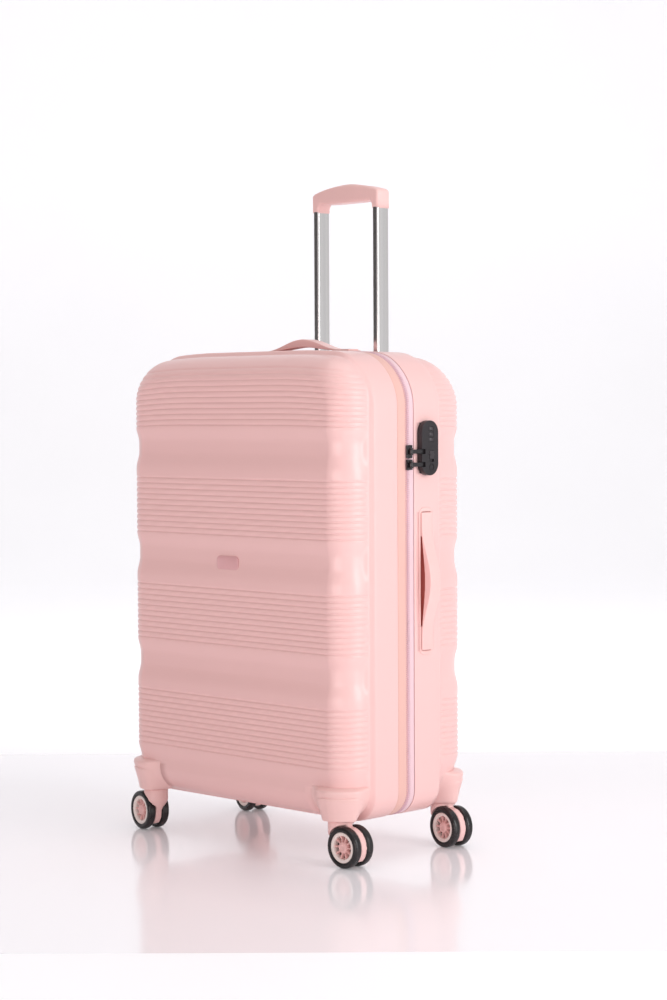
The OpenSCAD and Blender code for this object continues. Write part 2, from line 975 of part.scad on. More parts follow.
module caster_fork(c) {
    web_r = wheel_r - 2;
    color(pink)
        at_caster(c)
            difference() {
                union() {
                    translate([0, 0, neck_top - 19])
                        cylinder(h = 19, r = fork_r);
                    translate([0, 0, neck_top - 42])
                        cylinder(h = 23, r1 = 7, r2 = fork_r);
                    intersection() {
                        translate([trail, 0, wheel_r])
                            rotate([90, 0, 0])
                                cylinder(h = web_t, r = web_r, center = true);
                        translate([-100, -50, 10])
                            cube([200, 100, neck_top - 10]);
                    }
                    translate([0, 0, neck_top - 1])
                        cylinder(h = kingpin_h + 1, r = kingpin_r);
                }
                for (s = [-1, 1])
                    translate([trail, s * (web_t / 2 + 10), wheel_r])
                        rotate([90, 0, 0])
                            cylinder(h = 20, r = wheel_r + 1.2, center = true);
                translate([trail, 0, wheel_r])
                    rotate([90, 0, 0])
                        cylinder(h = 60, r = axle_r, center = true);
            }
}

module caster_axle(c) {
    color(silver)
        at_caster(c)
            translate([trail, 0, wheel_r])
                rotate([90, 0, 0])
                    cylinder(h = 2 * wheel_in + 18, r = axle_r, center = true);
}

// Draws a wheel part, turned about Z from its radius profile, on its axle
module on_axle(c, side) {
    at_caster(c)
        translate([trail, 0, wheel_r])
            rotate([-90 * side, 0, 0])
                children();
}

spokes = 10;

module wheel_rim(c, side) {
    color(pale_pink)
        on_axle(c, side) {
            difference() {
                union() {
                    translate([0, 0, wheel_in + 0.3])
                        cylinder(h = wheel_out - wheel_in - 1.2, r = 7);
                    translate([0, 0, wheel_in + 0.3])
                        cylinder(h = 2.2, r = rim_or - 2);
                }
                translate([0, 0, wheel_in - 1])
                    cylinder(h = 10.5, r = axle_r + run_gap);
            }
            translate([0, 0, wheel_in + 0.3])
                difference() {
                    cylinder(h = wheel_out - wheel_in - 0.5, r = rim_or);
                    translate([0, 0, -1])
                        cylinder(h = 20, r = 18);
                }
            for (i = [0:spokes - 1])
                rotate(i * 360 / spokes)
                    translate([6, -1.3, wheel_in + 0.4])
                        cube([13, 2.6, wheel_out - wheel_in - 2.4]);
        }
}

module wheel_tyre(c, side) {
    round_r = 2.7;
    color(black)
        on_axle(c, side)
            rotate_extrude() {
                translate([rim_or, wheel_in])
                    square([wheel_r - rim_or - round_r, wheel_out - wheel_in]);
                translate([rim_or, wheel_in + round_r])
                    square([wheel_r - rim_or, wheel_out - wheel_in - 2 * round_r]);
                for (z = [wheel_in + round_r, wheel_out - round_r])
                    translate([wheel_r - round_r, z])
                        circle(round_r);
            }
}

// ---- Assembly ----

front_shell();
back_shell();
front_zip();
back_zip();
hinge_strip();
front_lining();
back_lining();
divider_panel();
packing_straps();
strap_buckle();
badge();
trolley_outer_tubes();
trolley_cup();
trolley_bracket();
trolley_inner_tubes();
trolley_grip();
trolley_button();
trolley_push_rods();
trolley_lock_pins();
top_handle();
side_handle();
top_handle_base();
side_handle_base();
lock_body();
lock_slide();
zip_sliders();
zip_puller(pull_z[0]);  // zip_puller_upper
zip_puller(pull_z[1]);  // zip_puller_lower
for (d = DIALS) lock_dial(d);
for (c = CASTERS) {
    caster_housing(c);
    caster_fork(c);
    caster_axle(c);
    for (w = WHEELS) {
        wheel_rim(c, w[1]);
        wheel_tyre(c, w[1]);
    }
}
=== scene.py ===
import json
import math

import bmesh
import bpy
import numpy as np
from mathutils import Matrix, Vector


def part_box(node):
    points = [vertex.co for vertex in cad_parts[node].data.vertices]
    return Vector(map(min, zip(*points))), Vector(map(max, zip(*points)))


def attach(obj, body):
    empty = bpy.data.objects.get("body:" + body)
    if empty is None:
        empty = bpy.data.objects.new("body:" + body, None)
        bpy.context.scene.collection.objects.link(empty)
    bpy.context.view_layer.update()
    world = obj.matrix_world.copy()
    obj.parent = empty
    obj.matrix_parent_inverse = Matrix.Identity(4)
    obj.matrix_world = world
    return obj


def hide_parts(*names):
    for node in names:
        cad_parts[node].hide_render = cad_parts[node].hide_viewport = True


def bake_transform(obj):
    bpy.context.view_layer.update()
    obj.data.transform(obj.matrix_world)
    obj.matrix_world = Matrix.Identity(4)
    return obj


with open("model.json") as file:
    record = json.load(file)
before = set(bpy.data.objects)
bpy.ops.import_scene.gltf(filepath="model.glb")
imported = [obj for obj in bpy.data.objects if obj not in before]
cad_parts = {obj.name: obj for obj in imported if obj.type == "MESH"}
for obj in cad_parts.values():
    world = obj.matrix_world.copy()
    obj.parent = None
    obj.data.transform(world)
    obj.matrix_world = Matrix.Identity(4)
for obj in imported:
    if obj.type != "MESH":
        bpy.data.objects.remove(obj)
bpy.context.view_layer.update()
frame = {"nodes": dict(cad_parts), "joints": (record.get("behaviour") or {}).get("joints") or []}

NODES = frame["nodes"]
MM = 0.001


def mm_box(node):
    """Lowest and highest corner of a CAD node, in millimetres."""
    low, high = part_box(node)
    return np.array(low) / MM, np.array(high) / MM


def add_object(name, data):
    obj = bpy.data.objects.new(name, data)
    bpy.context.scene.collection.objects.link(obj)
    return obj


# ---------------------------------------------------------------- camera
# The photograph's view: right-hand side and front, from about two thirds of the case's height.
AZIMUTH = math.radians(44.9)
PITCH = math.radians(2.29)
ROLL = math.radians(-0.28)
CAMERA_AT = Vector((2.4919, -2.4199, 0.657))
SENSOR = 36
LENS = 81.73

cam_data = bpy.data.cameras.new("camera")
cam_data.sensor_width = SENSOR
cam_data.lens = LENS
cam_data.dof.use_dof = False
camera = add_object("camera", cam_data)
look = Vector((-math.sin(AZIMUTH) * math.cos(PITCH), math.cos(AZIMUTH) * math.cos(PITCH), -math.sin(PITCH)))
level_right = Vector((math.cos(AZIMUTH), math.sin(AZIMUTH), 0))
level_up = level_right.cross(look)
right = math.cos(ROLL) * level_right + math.sin(ROLL) * level_up
up = math.cos(ROLL) * level_up - math.sin(ROLL) * level_right
rotation = Matrix((right, up, -look)).transposed()
camera.matrix_world = Matrix.Translation(CAMERA_AT) @ rotation.to_4x4()
bpy.context.scene.camera = camera


# ---------------------------------------------------------------- materials
def linear(rgb):
    """sRGB 0-255 to linear RGBA."""
    out = []
    for c in rgb:
        c /= 255
        out.append(c / 12.92 if c <= 0.04045 else ((c + 0.055) / 1.055) ** 2.4)
    return (*out, 1.0)


def new_material(name):
    mat = bpy.data.materials.new(name)
    mat.use_nodes = True
    tree = mat.node_tree
    bsdf = tree.nodes["Principled BSDF"]
    return mat, tree, bsdf


def add_node(tree, kind, settings=(), **inputs):
    """A shader node with its inputs set; an underscore in an input's name stands for a space."""
    node = tree.nodes.new("ShaderNode" + kind)
    for key, value in dict(settings).items():
        setattr(node, key, value)
    for key, value in inputs.items():
        node.inputs[key.replace("_", " ")].default_value = value
    return node


def noise_node(tree, scale, detail, stretch=(1, 1, 1)):
    """Noise fixed to the object; scale is per metre."""
    coord = add_node(tree, "TexCoord")
    mapping = add_node(tree, "Mapping", Scale=stretch)
    noise = add_node(tree, "TexNoise", Scale=scale, Detail=detail)
    tree.links.new(coord.outputs["Object"], mapping.inputs["Vector"])
    tree.links.new(mapping.outputs["Vector"], noise.inputs["Vector"])
    return noise


def spread(tree, source, low, high, from_low=0.3, from_high=0.7):
    """Maps a texture's middle range to low..high."""
    node = add_node(tree, "MapRange", From_Min=from_low, From_Max=from_high, To_Min=low, To_Max=high)
    tree.links.new(source, node.inputs["Value"])
    return node.outputs["Result"]


def mix_colours(tree, factor, a, b):
    node = add_node(tree, "Mix", {"data_type": "RGBA"}, A=a, B=b)
    tree.links.new(factor, node.inputs["Factor"])
    return node.outputs["Result"]


def shade(rgb, k):
    return linear([min(255, c * k) for c in rgb])


def tint(tree, bsdf, factor, rgb, dark, light):
    """Base colour between a darker and a lighter shade of rgb."""
    tree.links.new(mix_colours(tree, factor, shade(rgb, dark), shade(rgb, light)), bsdf.inputs["Base Color"])


def add_bump(tree, bsdf, height, strength, distance):
    node = add_node(tree, "Bump", Strength=strength, Distance=distance)
    tree.links.new(height, node.inputs["Height"])
    tree.links.new(node.outputs["Normal"], bsdf.inputs["Normal"])


def plastic(name, rgb, rough=(0.3, 0.42), grain=900, bump=0.12, depth=0.00012, tone=0.03, spec=0.5,
            coat=0.0, cloud=14, detail=4):
    """Moulded plastic: cloudy tone and gloss, and a fine orange-peel bump unless bump is 0."""
    mat, tree, bsdf = new_material(name)
    clouds = noise_node(tree, cloud, detail)
    tint(tree, bsdf, spread(tree, clouds.outputs["Fac"], 0, 1), rgb, 1 - tone, 1 + tone)
    gloss = noise_node(tree, 4 * cloud, detail)
    tree.links.new(spread(tree, gloss.outputs["Fac"], *rough), bsdf.inputs["Roughness"])
    bsdf.inputs["Specular IOR Level"].default_value = spec
    bsdf.inputs["Coat Weight"].default_value = coat
    bsdf.inputs["Coat Roughness"].default_value = 0.2
    if bump:
        add_bump(tree, bsdf, noise_node(tree, grain, 2).outputs["Fac"], bump, depth)
    return mat


def metal(name, rgb, rough=(0.16, 0.26), along=(1, 1, 0.01), scale=700, depth=0.00002):
    """Drawn or brushed metal: lines along one axis, with a bump unless depth is 0."""
    mat, tree, bsdf = new_material(name)
    bsdf.inputs["Metallic"].default_value = 1.0
    lines = noise_node(tree, scale, 2, along)
    tint(tree, bsdf, spread(tree, lines.outputs["Fac"], 0, 1), rgb, 0.94, 1.04)
    tree.links.new(spread(tree, lines.outputs["Fac"], *rough), bsdf.inputs["Roughness"])
    if depth:
        add_bump(tree, bsdf, lines.outputs["Fac"], 0.2, depth)
    return mat


def woven(name, rgb, pitch, depth, tone):
    """Plain weave on UVs that are in metres: two crossed sets of threads, with painted shade in the hollows
    between them.
    """
    mat, tree, bsdf = new_material(name)
    coord = add_node(tree, "TexCoord")
    split = add_node(tree, "SeparateXYZ")
    tree.links.new(coord.outputs["UV"], split.inputs["Vector"])

    def wave(axis, shift):
        scaled = add_node(tree, "Math", {"operation": "MULTIPLY_ADD"})
        scaled.inputs[1].default_value = math.pi / (pitch * MM)
        scaled.inputs[2].default_value = shift
        tree.links.new(split.outputs[axis], scaled.inputs[0])
        sine = add_node(tree, "Math", {"operation": "SINE"})
        tree.links.new(scaled.outputs[0], sine.inputs[0])
        return sine.outputs[0]

    product = add_node(tree, "Math", {"operation": "MULTIPLY"})
    tree.links.new(wave("X", 0.0), product.inputs[0])
    tree.links.new(wave("Y", 0.0), product.inputs[1])
    height = spread(tree, product.outputs[0], 0, 1, -1, 1)
    # painted shade and light: the base colour is darker where the weave lies low and a little lighter on its
    # raised threads
    tint(tree, bsdf, height, rgb, 1 - tone, 1 + tone / 3)
    fuzz = noise_node(tree, 300, 3)
    tree.links.new(spread(tree, fuzz.outputs["Fac"], 0.75, 0.95), bsdf.inputs["Roughness"])
    add_bump(tree, bsdf, height, 0.6, depth)
    bsdf.inputs["Sheen Weight"].default_value = 0.25
    bsdf.inputs["Specular IOR Level"].default_value = 0.2
    return mat


SHELL = plastic("shell_pp", (243, 198, 195), rough=(0.28, 0.28), bump=0, tone=0, cloud=5, detail=0)
HANDLE = plastic("handle_pp", (243, 199, 195), rough=(0.30, 0.40), grain=60, bump=0.06, tone=0.012)
CASTER = plastic("caster_pp", (243, 200, 196), rough=(0.30, 0.40), grain=60, bump=0.06, tone=0.012)
WHEEL = plastic("wheel_pp", (240, 190, 186), rough=(0.28, 0.4), bump=0.06, tone=0.02)
RING = plastic("wheel_ring_pp", (244, 230, 224), rough=(0.28, 0.4), bump=0.06, tone=0.015)
BADGE = plastic("badge_gloss", (226, 172, 174), rough=(0.18, 0.26), tone=0.02, coat=0.5)
# painted shade: the pockets' dark red base colour stands in for the shade inside the handles' pockets
POCKET_SHADE_GLOW = plastic("pocket_painted_shade_glow", (172, 88, 80), rough=(0.45, 0.6), tone=0.03)
# painted glow: an emission that stands in for light coming through the thin shell into the handles' pockets
pocket_glow_inputs = POCKET_SHADE_GLOW.node_tree.nodes["Principled BSDF"].inputs
pocket_glow_inputs["Emission Color"].default_value = linear((170, 72, 62))
pocket_glow_inputs["Emission Strength"].default_value = 0.2
BLACK = plastic("black_abs", (34, 29, 33), rough=(0.32, 0.48), tone=0.08, grain=1400, bump=0.2)
DIAL = plastic("dial_abs", (52, 46, 50), rough=(0.35, 0.5), tone=0.08, grain=1400, bump=0.2)
# near-black, matt disc behind the spokes, which makes the gaps between them dark
WEB = plastic("wheel_gap_dark", (16, 12, 13), rough=(0.7, 0.9), tone=0.1, spec=0.1)
TYRE = plastic("tyre_pu", (26, 22, 24), rough=(0.22, 0.4), tone=0.12, grain=500, bump=0.25, depth=0.0003)
TAPE = woven("zip_tape", (236, 188, 178), pitch=1.2, depth=0.0002, tone=0.04)
LILAC = woven("zip_tape_back", (238, 204, 211), pitch=1.2, depth=0.0002, tone=0.04)
TEETH = plastic("zip_teeth", (214, 174, 186), rough=(0.35, 0.5), tone=0.04)
LINING = woven("lining_cloth", (176, 168, 172), pitch=1.6, depth=0.0004, tone=0.16)
PANEL = woven("divider_cloth", (162, 154, 159), pitch=2.2, depth=0.0006, tone=0.22)
WEBBING = woven("webbing", (112, 104, 110), pitch=2.4, depth=0.0007, tone=0.3)
ALUMINIUM = metal("anodised_tube", (246, 244, 244), rough=(0.15, 0.17), scale=40, depth=0)
STEEL = metal("steel_zinc", (176, 176, 180), rough=(0.25, 0.4), along=(1, 1, 0.2), scale=400)
BLACK_METAL = plastic("black_enamel", (30, 26, 30), rough=(0.22, 0.34), tone=0.1, coat=0.3)


# ---------------------------------------------------------------- mesh helpers
def smooth01(x):
    x = np.clip(x, 0.0, 1.0)
    return x * x * (3 - 2 * x)


def make_piece(name, verts, faces, body, mat, uvs=None, replaces=(), merge=None, flat_angle=None):
    """New mesh object from millimetre points, riding on a CAD body."""
    mesh = bpy.data.meshes.new(name)
    mesh.from_pydata([tuple(float(c) * MM for c in v) for v in verts], [], faces)
    if uvs is not None:
        layer = mesh.uv_layers.new(name="UVMap")
        for loop in mesh.loops:
            layer.data[loop.index].uv = uvs[loop.vertex_index]
    obj = add_object(name, mesh)
    bm = bmesh.new()
    bm.from_mesh(mesh)
    if merge:
        bmesh.ops.remove_doubles(bm, verts=bm.verts, dist=merge * MM)
        bmesh.ops.dissolve_degenerate(bm, edges=bm.edges, dist=1e-7)
    for face in bm.faces:
        face.smooth = True
    if flat_angle is not None:
        for edge in bm.edges:
            if len(edge.link_faces) == 2 and edge.calc_face_angle(0) > math.radians(flat_angle):
                edge.smooth = False
    bm.to_mesh(mesh)
    bm.free()
    mesh.materials.append(mat)
    if body:
        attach(obj, body)
    if replaces:
        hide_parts(*replaces)
    return obj


def orient_outward(obj):
    bm = bmesh.new()
    bm.from_mesh(obj.data)
    bmesh.ops.recalc_face_normals(bm, faces=bm.faces)
    bm.to_mesh(obj.data)
    bm.free()
    return obj


def modifier(obj, kind, **values):
    mod = obj.modifiers.new(kind.lower(), kind)
    for key, value in values.items():
        setattr(mod, key, value)
    return mod


def grid_faces(rows, cols, start=0, close_rows=False, close_cols=False, flip=False):
    faces = []
    for i in range(rows if close_rows else rows - 1):
        i2 = (i + 1) % rows
        for j in range(cols if close_cols else cols - 1):
            j2 = (j + 1) % cols
            q = [start + i * cols + j, start + i2 * cols + j, start + i2 * cols + j2, start + i * cols + j2]
            faces.append(q[::-1] if flip else q)
    return faces


def fan_faces(row, cols):
    """Triangles from a grid's given row to the one point that follows it."""
    start = row * cols
    return [[start + i, start + (i + 1) % cols, start + cols] for i in range(cols)]


def closing_rings(outline, middle, steps, radius=14.0):
    """Rings from an outline in to an even circle and then its middle point."""
    first = outline[0] - middle
    x, y = outline.T
    turn = math.copysign(1, np.sum(x * np.roll(y, -1) - y * np.roll(x, -1)))
    angles = math.atan2(first[1], first[0]) + turn * np.arange(len(outline)) * 2 * math.pi / len(outline)
    circle = middle + radius * np.column_stack([np.cos(angles), np.sin(angles)])
    return [outline * (1 - t) + circle * t for t in np.linspace(0, 1, steps + 1)[1:]] + [np.array([middle])]


def polygon_normals(loop):
    """Outward normals of a counter-clockwise closed 2D loop."""
    ahead = np.roll(loop, -1, axis=0) - loop
    ahead /= np.maximum(np.linalg.norm(ahead, axis=1), 1e-9)[:, None]
    out = np.stack([ahead[:, 1], -ahead[:, 0]], axis=1)
    both = out + np.roll(out, 1, axis=0)
    length = np.maximum(np.linalg.norm(both, axis=1), 1e-9)
    return both / length[:, None] / np.maximum(length / 2, 0.6)[:, None]


def rounded_prism(loop, half, radius, steps=4):
    """Points and faces of a 2D loop extruded to +-half with rounded rims. Returns 3D (u, v, w) points."""
    loop = np.asarray(loop, float)
    normals = polygon_normals(loop)
    n = len(loop)
    rows = []
    for side in (-1, 1):
        angles = np.linspace(90, 0, steps + 1) if side < 0 else np.linspace(0, 90, steps + 1)
        for a in np.radians(angles):
            inset = radius * (1 - math.cos(a))
            w = side * (half - radius * (1 - math.sin(a)))
            rows.append(np.column_stack([loop - normals * inset, np.full(n, w)]))
    verts = np.vstack(rows)
    count = len(rows)
    faces = grid_faces(count, n, close_cols=True, flip=True)
    faces.append(list(range(n))[::-1])
    faces.append([(count - 1) * n + i for i in range(n)])
    return verts, faces


def rounded_loop(w, h, r, steps=8):
    """Counter-clockwise rounded rectangle."""
    points = []
    for k, (sx, sy) in enumerate(((1, 1), (-1, 1), (-1, -1), (1, -1))):
        for i in range(steps + 1):
            a = math.radians(90 * k + 90 * i / steps)
            points.append((sx * (w / 2 - r) + r * math.cos(a), sy * (h / 2 - r) + r * math.sin(a)))
    return np.array(points)


def triangulate_ngons(obj):
    """Splits faces of more than four corners, so that concave ends export cleanly."""
    bm = bmesh.new()
    bm.from_mesh(obj.data)
    big = [f for f in bm.faces if len(f.verts) > 4]
    bmesh.ops.triangulate(bm, faces=big, quad_method="BEAUTY", ngon_method="EAR_CLIP")
    bm.to_mesh(obj.data)
    bm.free()
    return obj


def prism_piece(name, loop, half, radius, place, body, mat, replaces=(), steps=4):
    """rounded_prism put in place by a function of (u, v, w)."""
    verts, faces = rounded_prism(loop, half, radius, steps)
    obj = make_piece(name, [place(*v) for v in verts], faces, body, mat, replaces=replaces)
    return orient_outward(triangulate_ngons(obj))


def lathe(profile, steps, place, name, body, mat, replaces=(), flat_angle=None):
    """Surface of revolution from (radius, height) pairs, put in place by a function of (x, y, z)."""
    verts = []
    for k in range(steps):
        a = 2 * math.pi * k / steps
        verts += [place(r * math.cos(a), r * math.sin(a), h) for r, h in profile]
    faces = grid_faces(steps, len(profile), close_rows=True, close_cols=True)
    return orient_outward(make_piece(
        name, verts, faces, body, mat, replaces=replaces, merge=0.001, flat_angle=flat_angle,
    ))


# ---------------------------------------------------------------- measures from the frame
front_low, front_high = mm_box("front_shell")
back_low, back_high = mm_box("back_shell")
RIM_HW = float(back_high[0])
RIM_LOW = float(back_low[2])
RIM_HIGH = float(back_high[2])
FRONT_FACE = float(-front_low[1])
FRONT_EDGE = float(-front_high[1])
BACK_FACE = float(back_high[1])
BACK_EDGE = float(back_low[1])

# How far each dish's outline lies inside the rim, and the bends of the two dishes.
DISH_STEP = 6.5
FRONT_FORM = dict(face=FRONT_FACE, fillet=45.5, cap_t=77.0, r_low=42.0)
BACK_FORM = dict(face=BACK_FACE, fillet=62.0, cap_t=90.0, r_low=66.0)
RIM = dict(hw=RIM_HW, lo=RIM_LOW, hi=RIM_HIGH, rb=42.0, rt=76.0)
DISH_HW, DISH_LOW, DISH_HIGH = RIM_HW - DISH_STEP, RIM_LOW + DISH_STEP, RIM_HIGH - DISH_STEP

# The ribbed bands: grooves GROOVE_PITCH apart, with a scooped smooth band above each.
BAND_LOW = 142.4
BAND_PITCH = 164.2
GROOVE_PITCH = 8.3
GROOVES = 11
SMOOTH_H = 68.0
RECESS = 4.5
GROOVE_DEPTH = 1.35
GROOVE_HALF = 2.5
WALL = 2.4

GROOVE_Z = [BAND_LOW + k * BAND_PITCH + i * GROOVE_PITCH for k in range(4) for i in range(GROOVES)]


def relief(z):
    """How far the ribs and scoops sink the surface at height z."""
    z = np.asarray(z, float)
    out = np.zeros_like(z)
    for k in range(1, 4):
        t = BAND_LOW + k * BAND_PITCH - z
        out = np.maximum(out, RECESS * smooth01((t - 1.5) / 25) * smooth01((SMOOTH_H - t) / 27))
    out = np.maximum(out, RECESS * smooth01((BAND_LOW - 1.5 - z) / 24))
    for g in GROOVE_Z:
        out = out + GROOVE_DEPTH * (1 - smooth01(np.abs(z - g) / GROOVE_HALF))
    return out


def crown(x, z):
    """The rims and dishes droop a little towards their top corners."""
    return 5.5 * np.clip((np.abs(x) - 90) / 110, 0, 1.4) ** 2 * smooth01((z - 560) / 184)


def half_width(o, z):
    """(half width, outward normal x, outward normal z) of an outline at height z."""
    if z < o["lo"] + o["rb"]:
        dz, r, sign = o["lo"] + o["rb"] - z, o["rb"], -1
    elif z > o["hi"] - o["rt"]:
        dz, r, sign = z - (o["hi"] - o["rt"]), o["rt"], 1
    else:
        return o["hw"], 1.0, 0.0
    reach = math.sqrt(max(r * r - dz * dz, 0.0))
    return o["hw"] - r + reach, reach / r, sign * min(dz / r, 1.0)


def slice_x(o, z, s):
    """x where the distance inside the outline is s, and the outline's normal x there."""
    if z < o["lo"] + o["rb"]:
        dz, r = o["lo"] + o["rb"] - z, o["rb"]
    elif z > o["hi"] - o["rt"]:
        dz, r = z - (o["hi"] - o["rt"]), o["rt"]
    else:
        return o["hw"] - s, 1.0
    rad = max(r - s, 1e-6)
    reach = math.sqrt(max(rad * rad - dz * dz, 0.0))
    return o["hw"] - r + reach, reach / rad


def outline_distance(o, x, z):
    middle = (o["lo"] + o["hi"]) / 2
    low = z < middle
    r = np.where(low, o["rb"], o["rt"])
    dx = np.abs(x) - (o["hw"] - r)
    dz = np.where(low, o["lo"] + r - z, z - (o["hi"] - r))
    return np.hypot(np.maximum(dx, 0), np.maximum(dz, 0)) + np.minimum(np.maximum(dx, dz), 0) - r


def onto_rim(x, z, nx, nz):
    """Pushes dish outline points out along their normals to the rim outline."""
    x, z = float(x), float(z)
    travel = 0.0
    for _ in range(24):
        travel -= float(outline_distance(RIM, x + travel * nx, z + travel * nz))
    return x + travel * nx, z + travel * nz


def levels_for(o, extra):
    """Heights of the slices: fine at the grooves, shoulders and corner arcs."""
    zs = [o["lo"], o["hi"]]
    for r, base, sign in ((o["rb"], o["lo"], 1), (o["rt"], o["hi"], -1)):
        zs += [base + sign * r * (1 - math.cos(a)) for a in np.radians(np.arange(2.5, 90, 4))]
        zs.append(base + sign * r)
    for g in GROOVE_Z:
        zs += [g + t * GROOVE_HALF for t in (-1.0, -0.72, -0.44, -0.2, 0.0, 0.2, 0.44, 0.72, 1.0)]
        zs.append(g + GROOVE_PITCH / 2)
    zs += list(np.arange(o["lo"], o["hi"], 4.5))
    zs = sorted(z for z in zs if o["lo"] <= z <= o["hi"])
    gap = 0.35
    keep = [zs[0]]
    fixed = set(round(e, 4) for e in extra)
    for z in sorted(zs + list(extra)):
        if round(z, 4) in fixed:
            if z - keep[-1] < gap and round(keep[-1], 4) not in fixed and len(keep) > 1:
                keep[-1] = z
            elif z - keep[-1] > 1e-6:
                keep.append(z)
        elif z - keep[-1] >= gap:
            keep.append(z)
    if o["hi"] - keep[-1] > 1e-6:
        keep.append(o["hi"])
    return keep


FACE_X = [167.6, 150.0, 126.0, 108.0, 94.0, 80.0, 62.0, 42.0, 21.0, 0.0]
FACE_X = FACE_X + [-x for x in FACE_X[-2::-1]]


def shell_surface(edge, step, fillet, face, r_low, r_high, extra_d, extra_z, cap_t, run=8.0, flat_hw=None):
    """Vertices and faces of one half's outer skin. Depth runs outward from the zip plane."""
    dish = dict(hw=DISH_HW, lo=DISH_LOW, hi=DISH_HIGH, rb=r_low, rt=r_high)
    t_end = math.radians(cap_t)
    fillet_start = face - fillet * math.sin(t_end)
    wall_d = [edge + 0.9, edge + 3, *extra_d]
    wall_d += [d for d in np.arange(edge + 9, step - 2, 9) if min(abs(d - e) for e in wall_d) > 3]
    wall_d = [(d, 0.0, 0.0) for d in sorted(wall_d)] + [(edge, 0.0, 0.9), (edge + 0.25, 0.0, 0.3)]
    wall_d += [(step + run * k / 8, float(smooth01(k / 8)), 0.0) for k in range(9)]
    tail = max(2, int((fillet_start - step - run) / 2.2))
    wall_d += [(step + run + (fillet_start - step - run) * k / tail, 1.0, 0.0) for k in range(1, tail + 1)]
    wall_d.sort()
    angles = [t_end * k / 14 for k in range(1, 15)]
    s_face = fillet * (1 - math.cos(t_end))
    zs = levels_for(dish, extra_z)
    columns = len(wall_d)

    def wall_points(x0, z0, nx, nz):
        rx, rz = onto_rim(x0, z0, nx, nz)
        return [
            (x0 + (rx - x0) * (1 - f) - sunk * nx, d, z0 + (rz - z0) * (1 - f) - sunk * nz)
            for d, f, sunk in wall_d
        ]

    def sink(point, nx, tilt, z):
        x, d, zz = point
        depth = float(fade(d)) * float(wave(z))
        if flat_hw is not None and tilt > math.radians(60):
            depth *= float(smooth01((abs(x) - flat_hw) / 9))
        return (x - depth * nx * math.cos(tilt), d - depth * math.sin(tilt), zz)

    table = {round(z, 5): float(v) for z, v in zip(zs, relief(zs))}

    def wave(z):
        return table[round(z, 5)]

    def fade(d):
        return smooth01((d - (step + run)) / 7.0)

    rows = []
    for z in zs:
        hw, nx, nz = half_width(dish, z)
        points = [sink(p, nx, 0.0, z) for p in wall_points(hw, z, nx, nz)]
        s_max = min(s_face, z - dish["lo"], dish["hi"] - z)
        t_max = math.acos(max(-1.0, 1 - max(s_max, 0) / fillet))
        for k, t in enumerate(angles):
            t = min(t_end, t) if s_max >= s_face else t_max * (k + 1) / len(angles)
            s = fillet * (1 - math.cos(t))
            x, n = slice_x(dish, z, s)
            points.append(sink((x, fillet_start + fillet * math.sin(t), z), n, t, z))
        end_x = points[-1][0]
        flat_tilt = math.radians(90) if s_max >= s_face else t_max
        d_face = fillet_start + fillet * math.sin(t_max if s_max < s_face else t_end)
        for step_in in (2.5, 6.0):
            points.append(sink((end_x - step_in, d_face, z), 0.0, flat_tilt, z))
        inner = end_x - 6.3
        middle = [sink((max(-inner, min(inner, x)), d_face, z), 0.0, flat_tilt, z) for x in FACE_X]
        mirrored = [(-x, d, zz) for x, d, zz in reversed(points)]
        rows.append(points + middle + mirrored)
    width = len(rows[0])
    verts = [p for row in rows for p in row]
    faces = grid_faces(len(rows), width, flip=True)
    # top and bottom: from the wall's columns on the right over to those on the left
    for at, sign in ((dish["hi"], 1), (dish["lo"], -1)):
        r = r_high if sign > 0 else r_low
        cx = dish["hw"] - r
        xs = [cx, cx - 2.5, cx - 6.0, *(x for x in FACE_X if abs(x) < cx - 6.5), -cx + 6.0, -cx + 2.5, -cx]
        start = len(verts)
        for x in xs:
            verts += wall_points(x, at, 0.0, float(sign))
        faces += grid_faces(len(xs), columns, start, flip=sign > 0)
    verts = np.array(verts)
    verts[:, 2] -= crown(verts[:, 0], verts[:, 2])
    return verts, faces


def cut_faces(obj, *tests):
    """Removes the faces whose centre, in millimetres, passes any of the tests."""
    bm = bmesh.new()
    bm.from_mesh(obj.data)
    gone = [f for f in bm.faces if any(test(*(f.calc_center_median() / MM)) for test in tests)]
    bmesh.ops.delete(bm, geom=gone, context="FACES")
    bm.to_mesh(obj.data)
    bm.free()


def build_shell(name, sign, body, cuts, **shape):
    verts, faces = shell_surface(**shape)
    verts[:, 1] *= sign
    if sign > 0:
        faces = [f[::-1] for f in faces]
    node = name.replace("_moulding", "_shell")
    obj = make_piece(name, verts, faces, body, SHELL, replaces=(node,), merge=0.02)
    orient_outward(obj)
    cut_faces(obj, *cuts)
    modifier(obj, "SOLIDIFY", thickness=WALL * MM, offset=-1, use_quality_normals=False)


# The corners cut out of the shells for the caster housings, and the cuts for the handles, lock and cup.
BLOCK_X, BLOCK_TOP = 167.6, 112.0
FRONT_BLOCK_Y, BACK_BLOCK_Y = 90.0, 78.0
top_base_low, top_base_high = mm_box("top_handle_base")
side_base_low, side_base_high = mm_box("side_handle_base")
lock_low, lock_high = mm_box("lock_body")
cup_low, cup_high = mm_box("trolley_cup")
CUT_IN = 1.7
cut_y = (top_base_low[1] + CUT_IN, top_base_high[1] - CUT_IN)
side_cut_z = (side_base_low[2] + CUT_IN + 4, side_base_high[2] - CUT_IN - 4)
lock_cut_z = (lock_low[2] + 3, lock_high[2] - 3)
CUP_X = 80.0
CUP_Z = (float(cup_low[2]), 733.0)

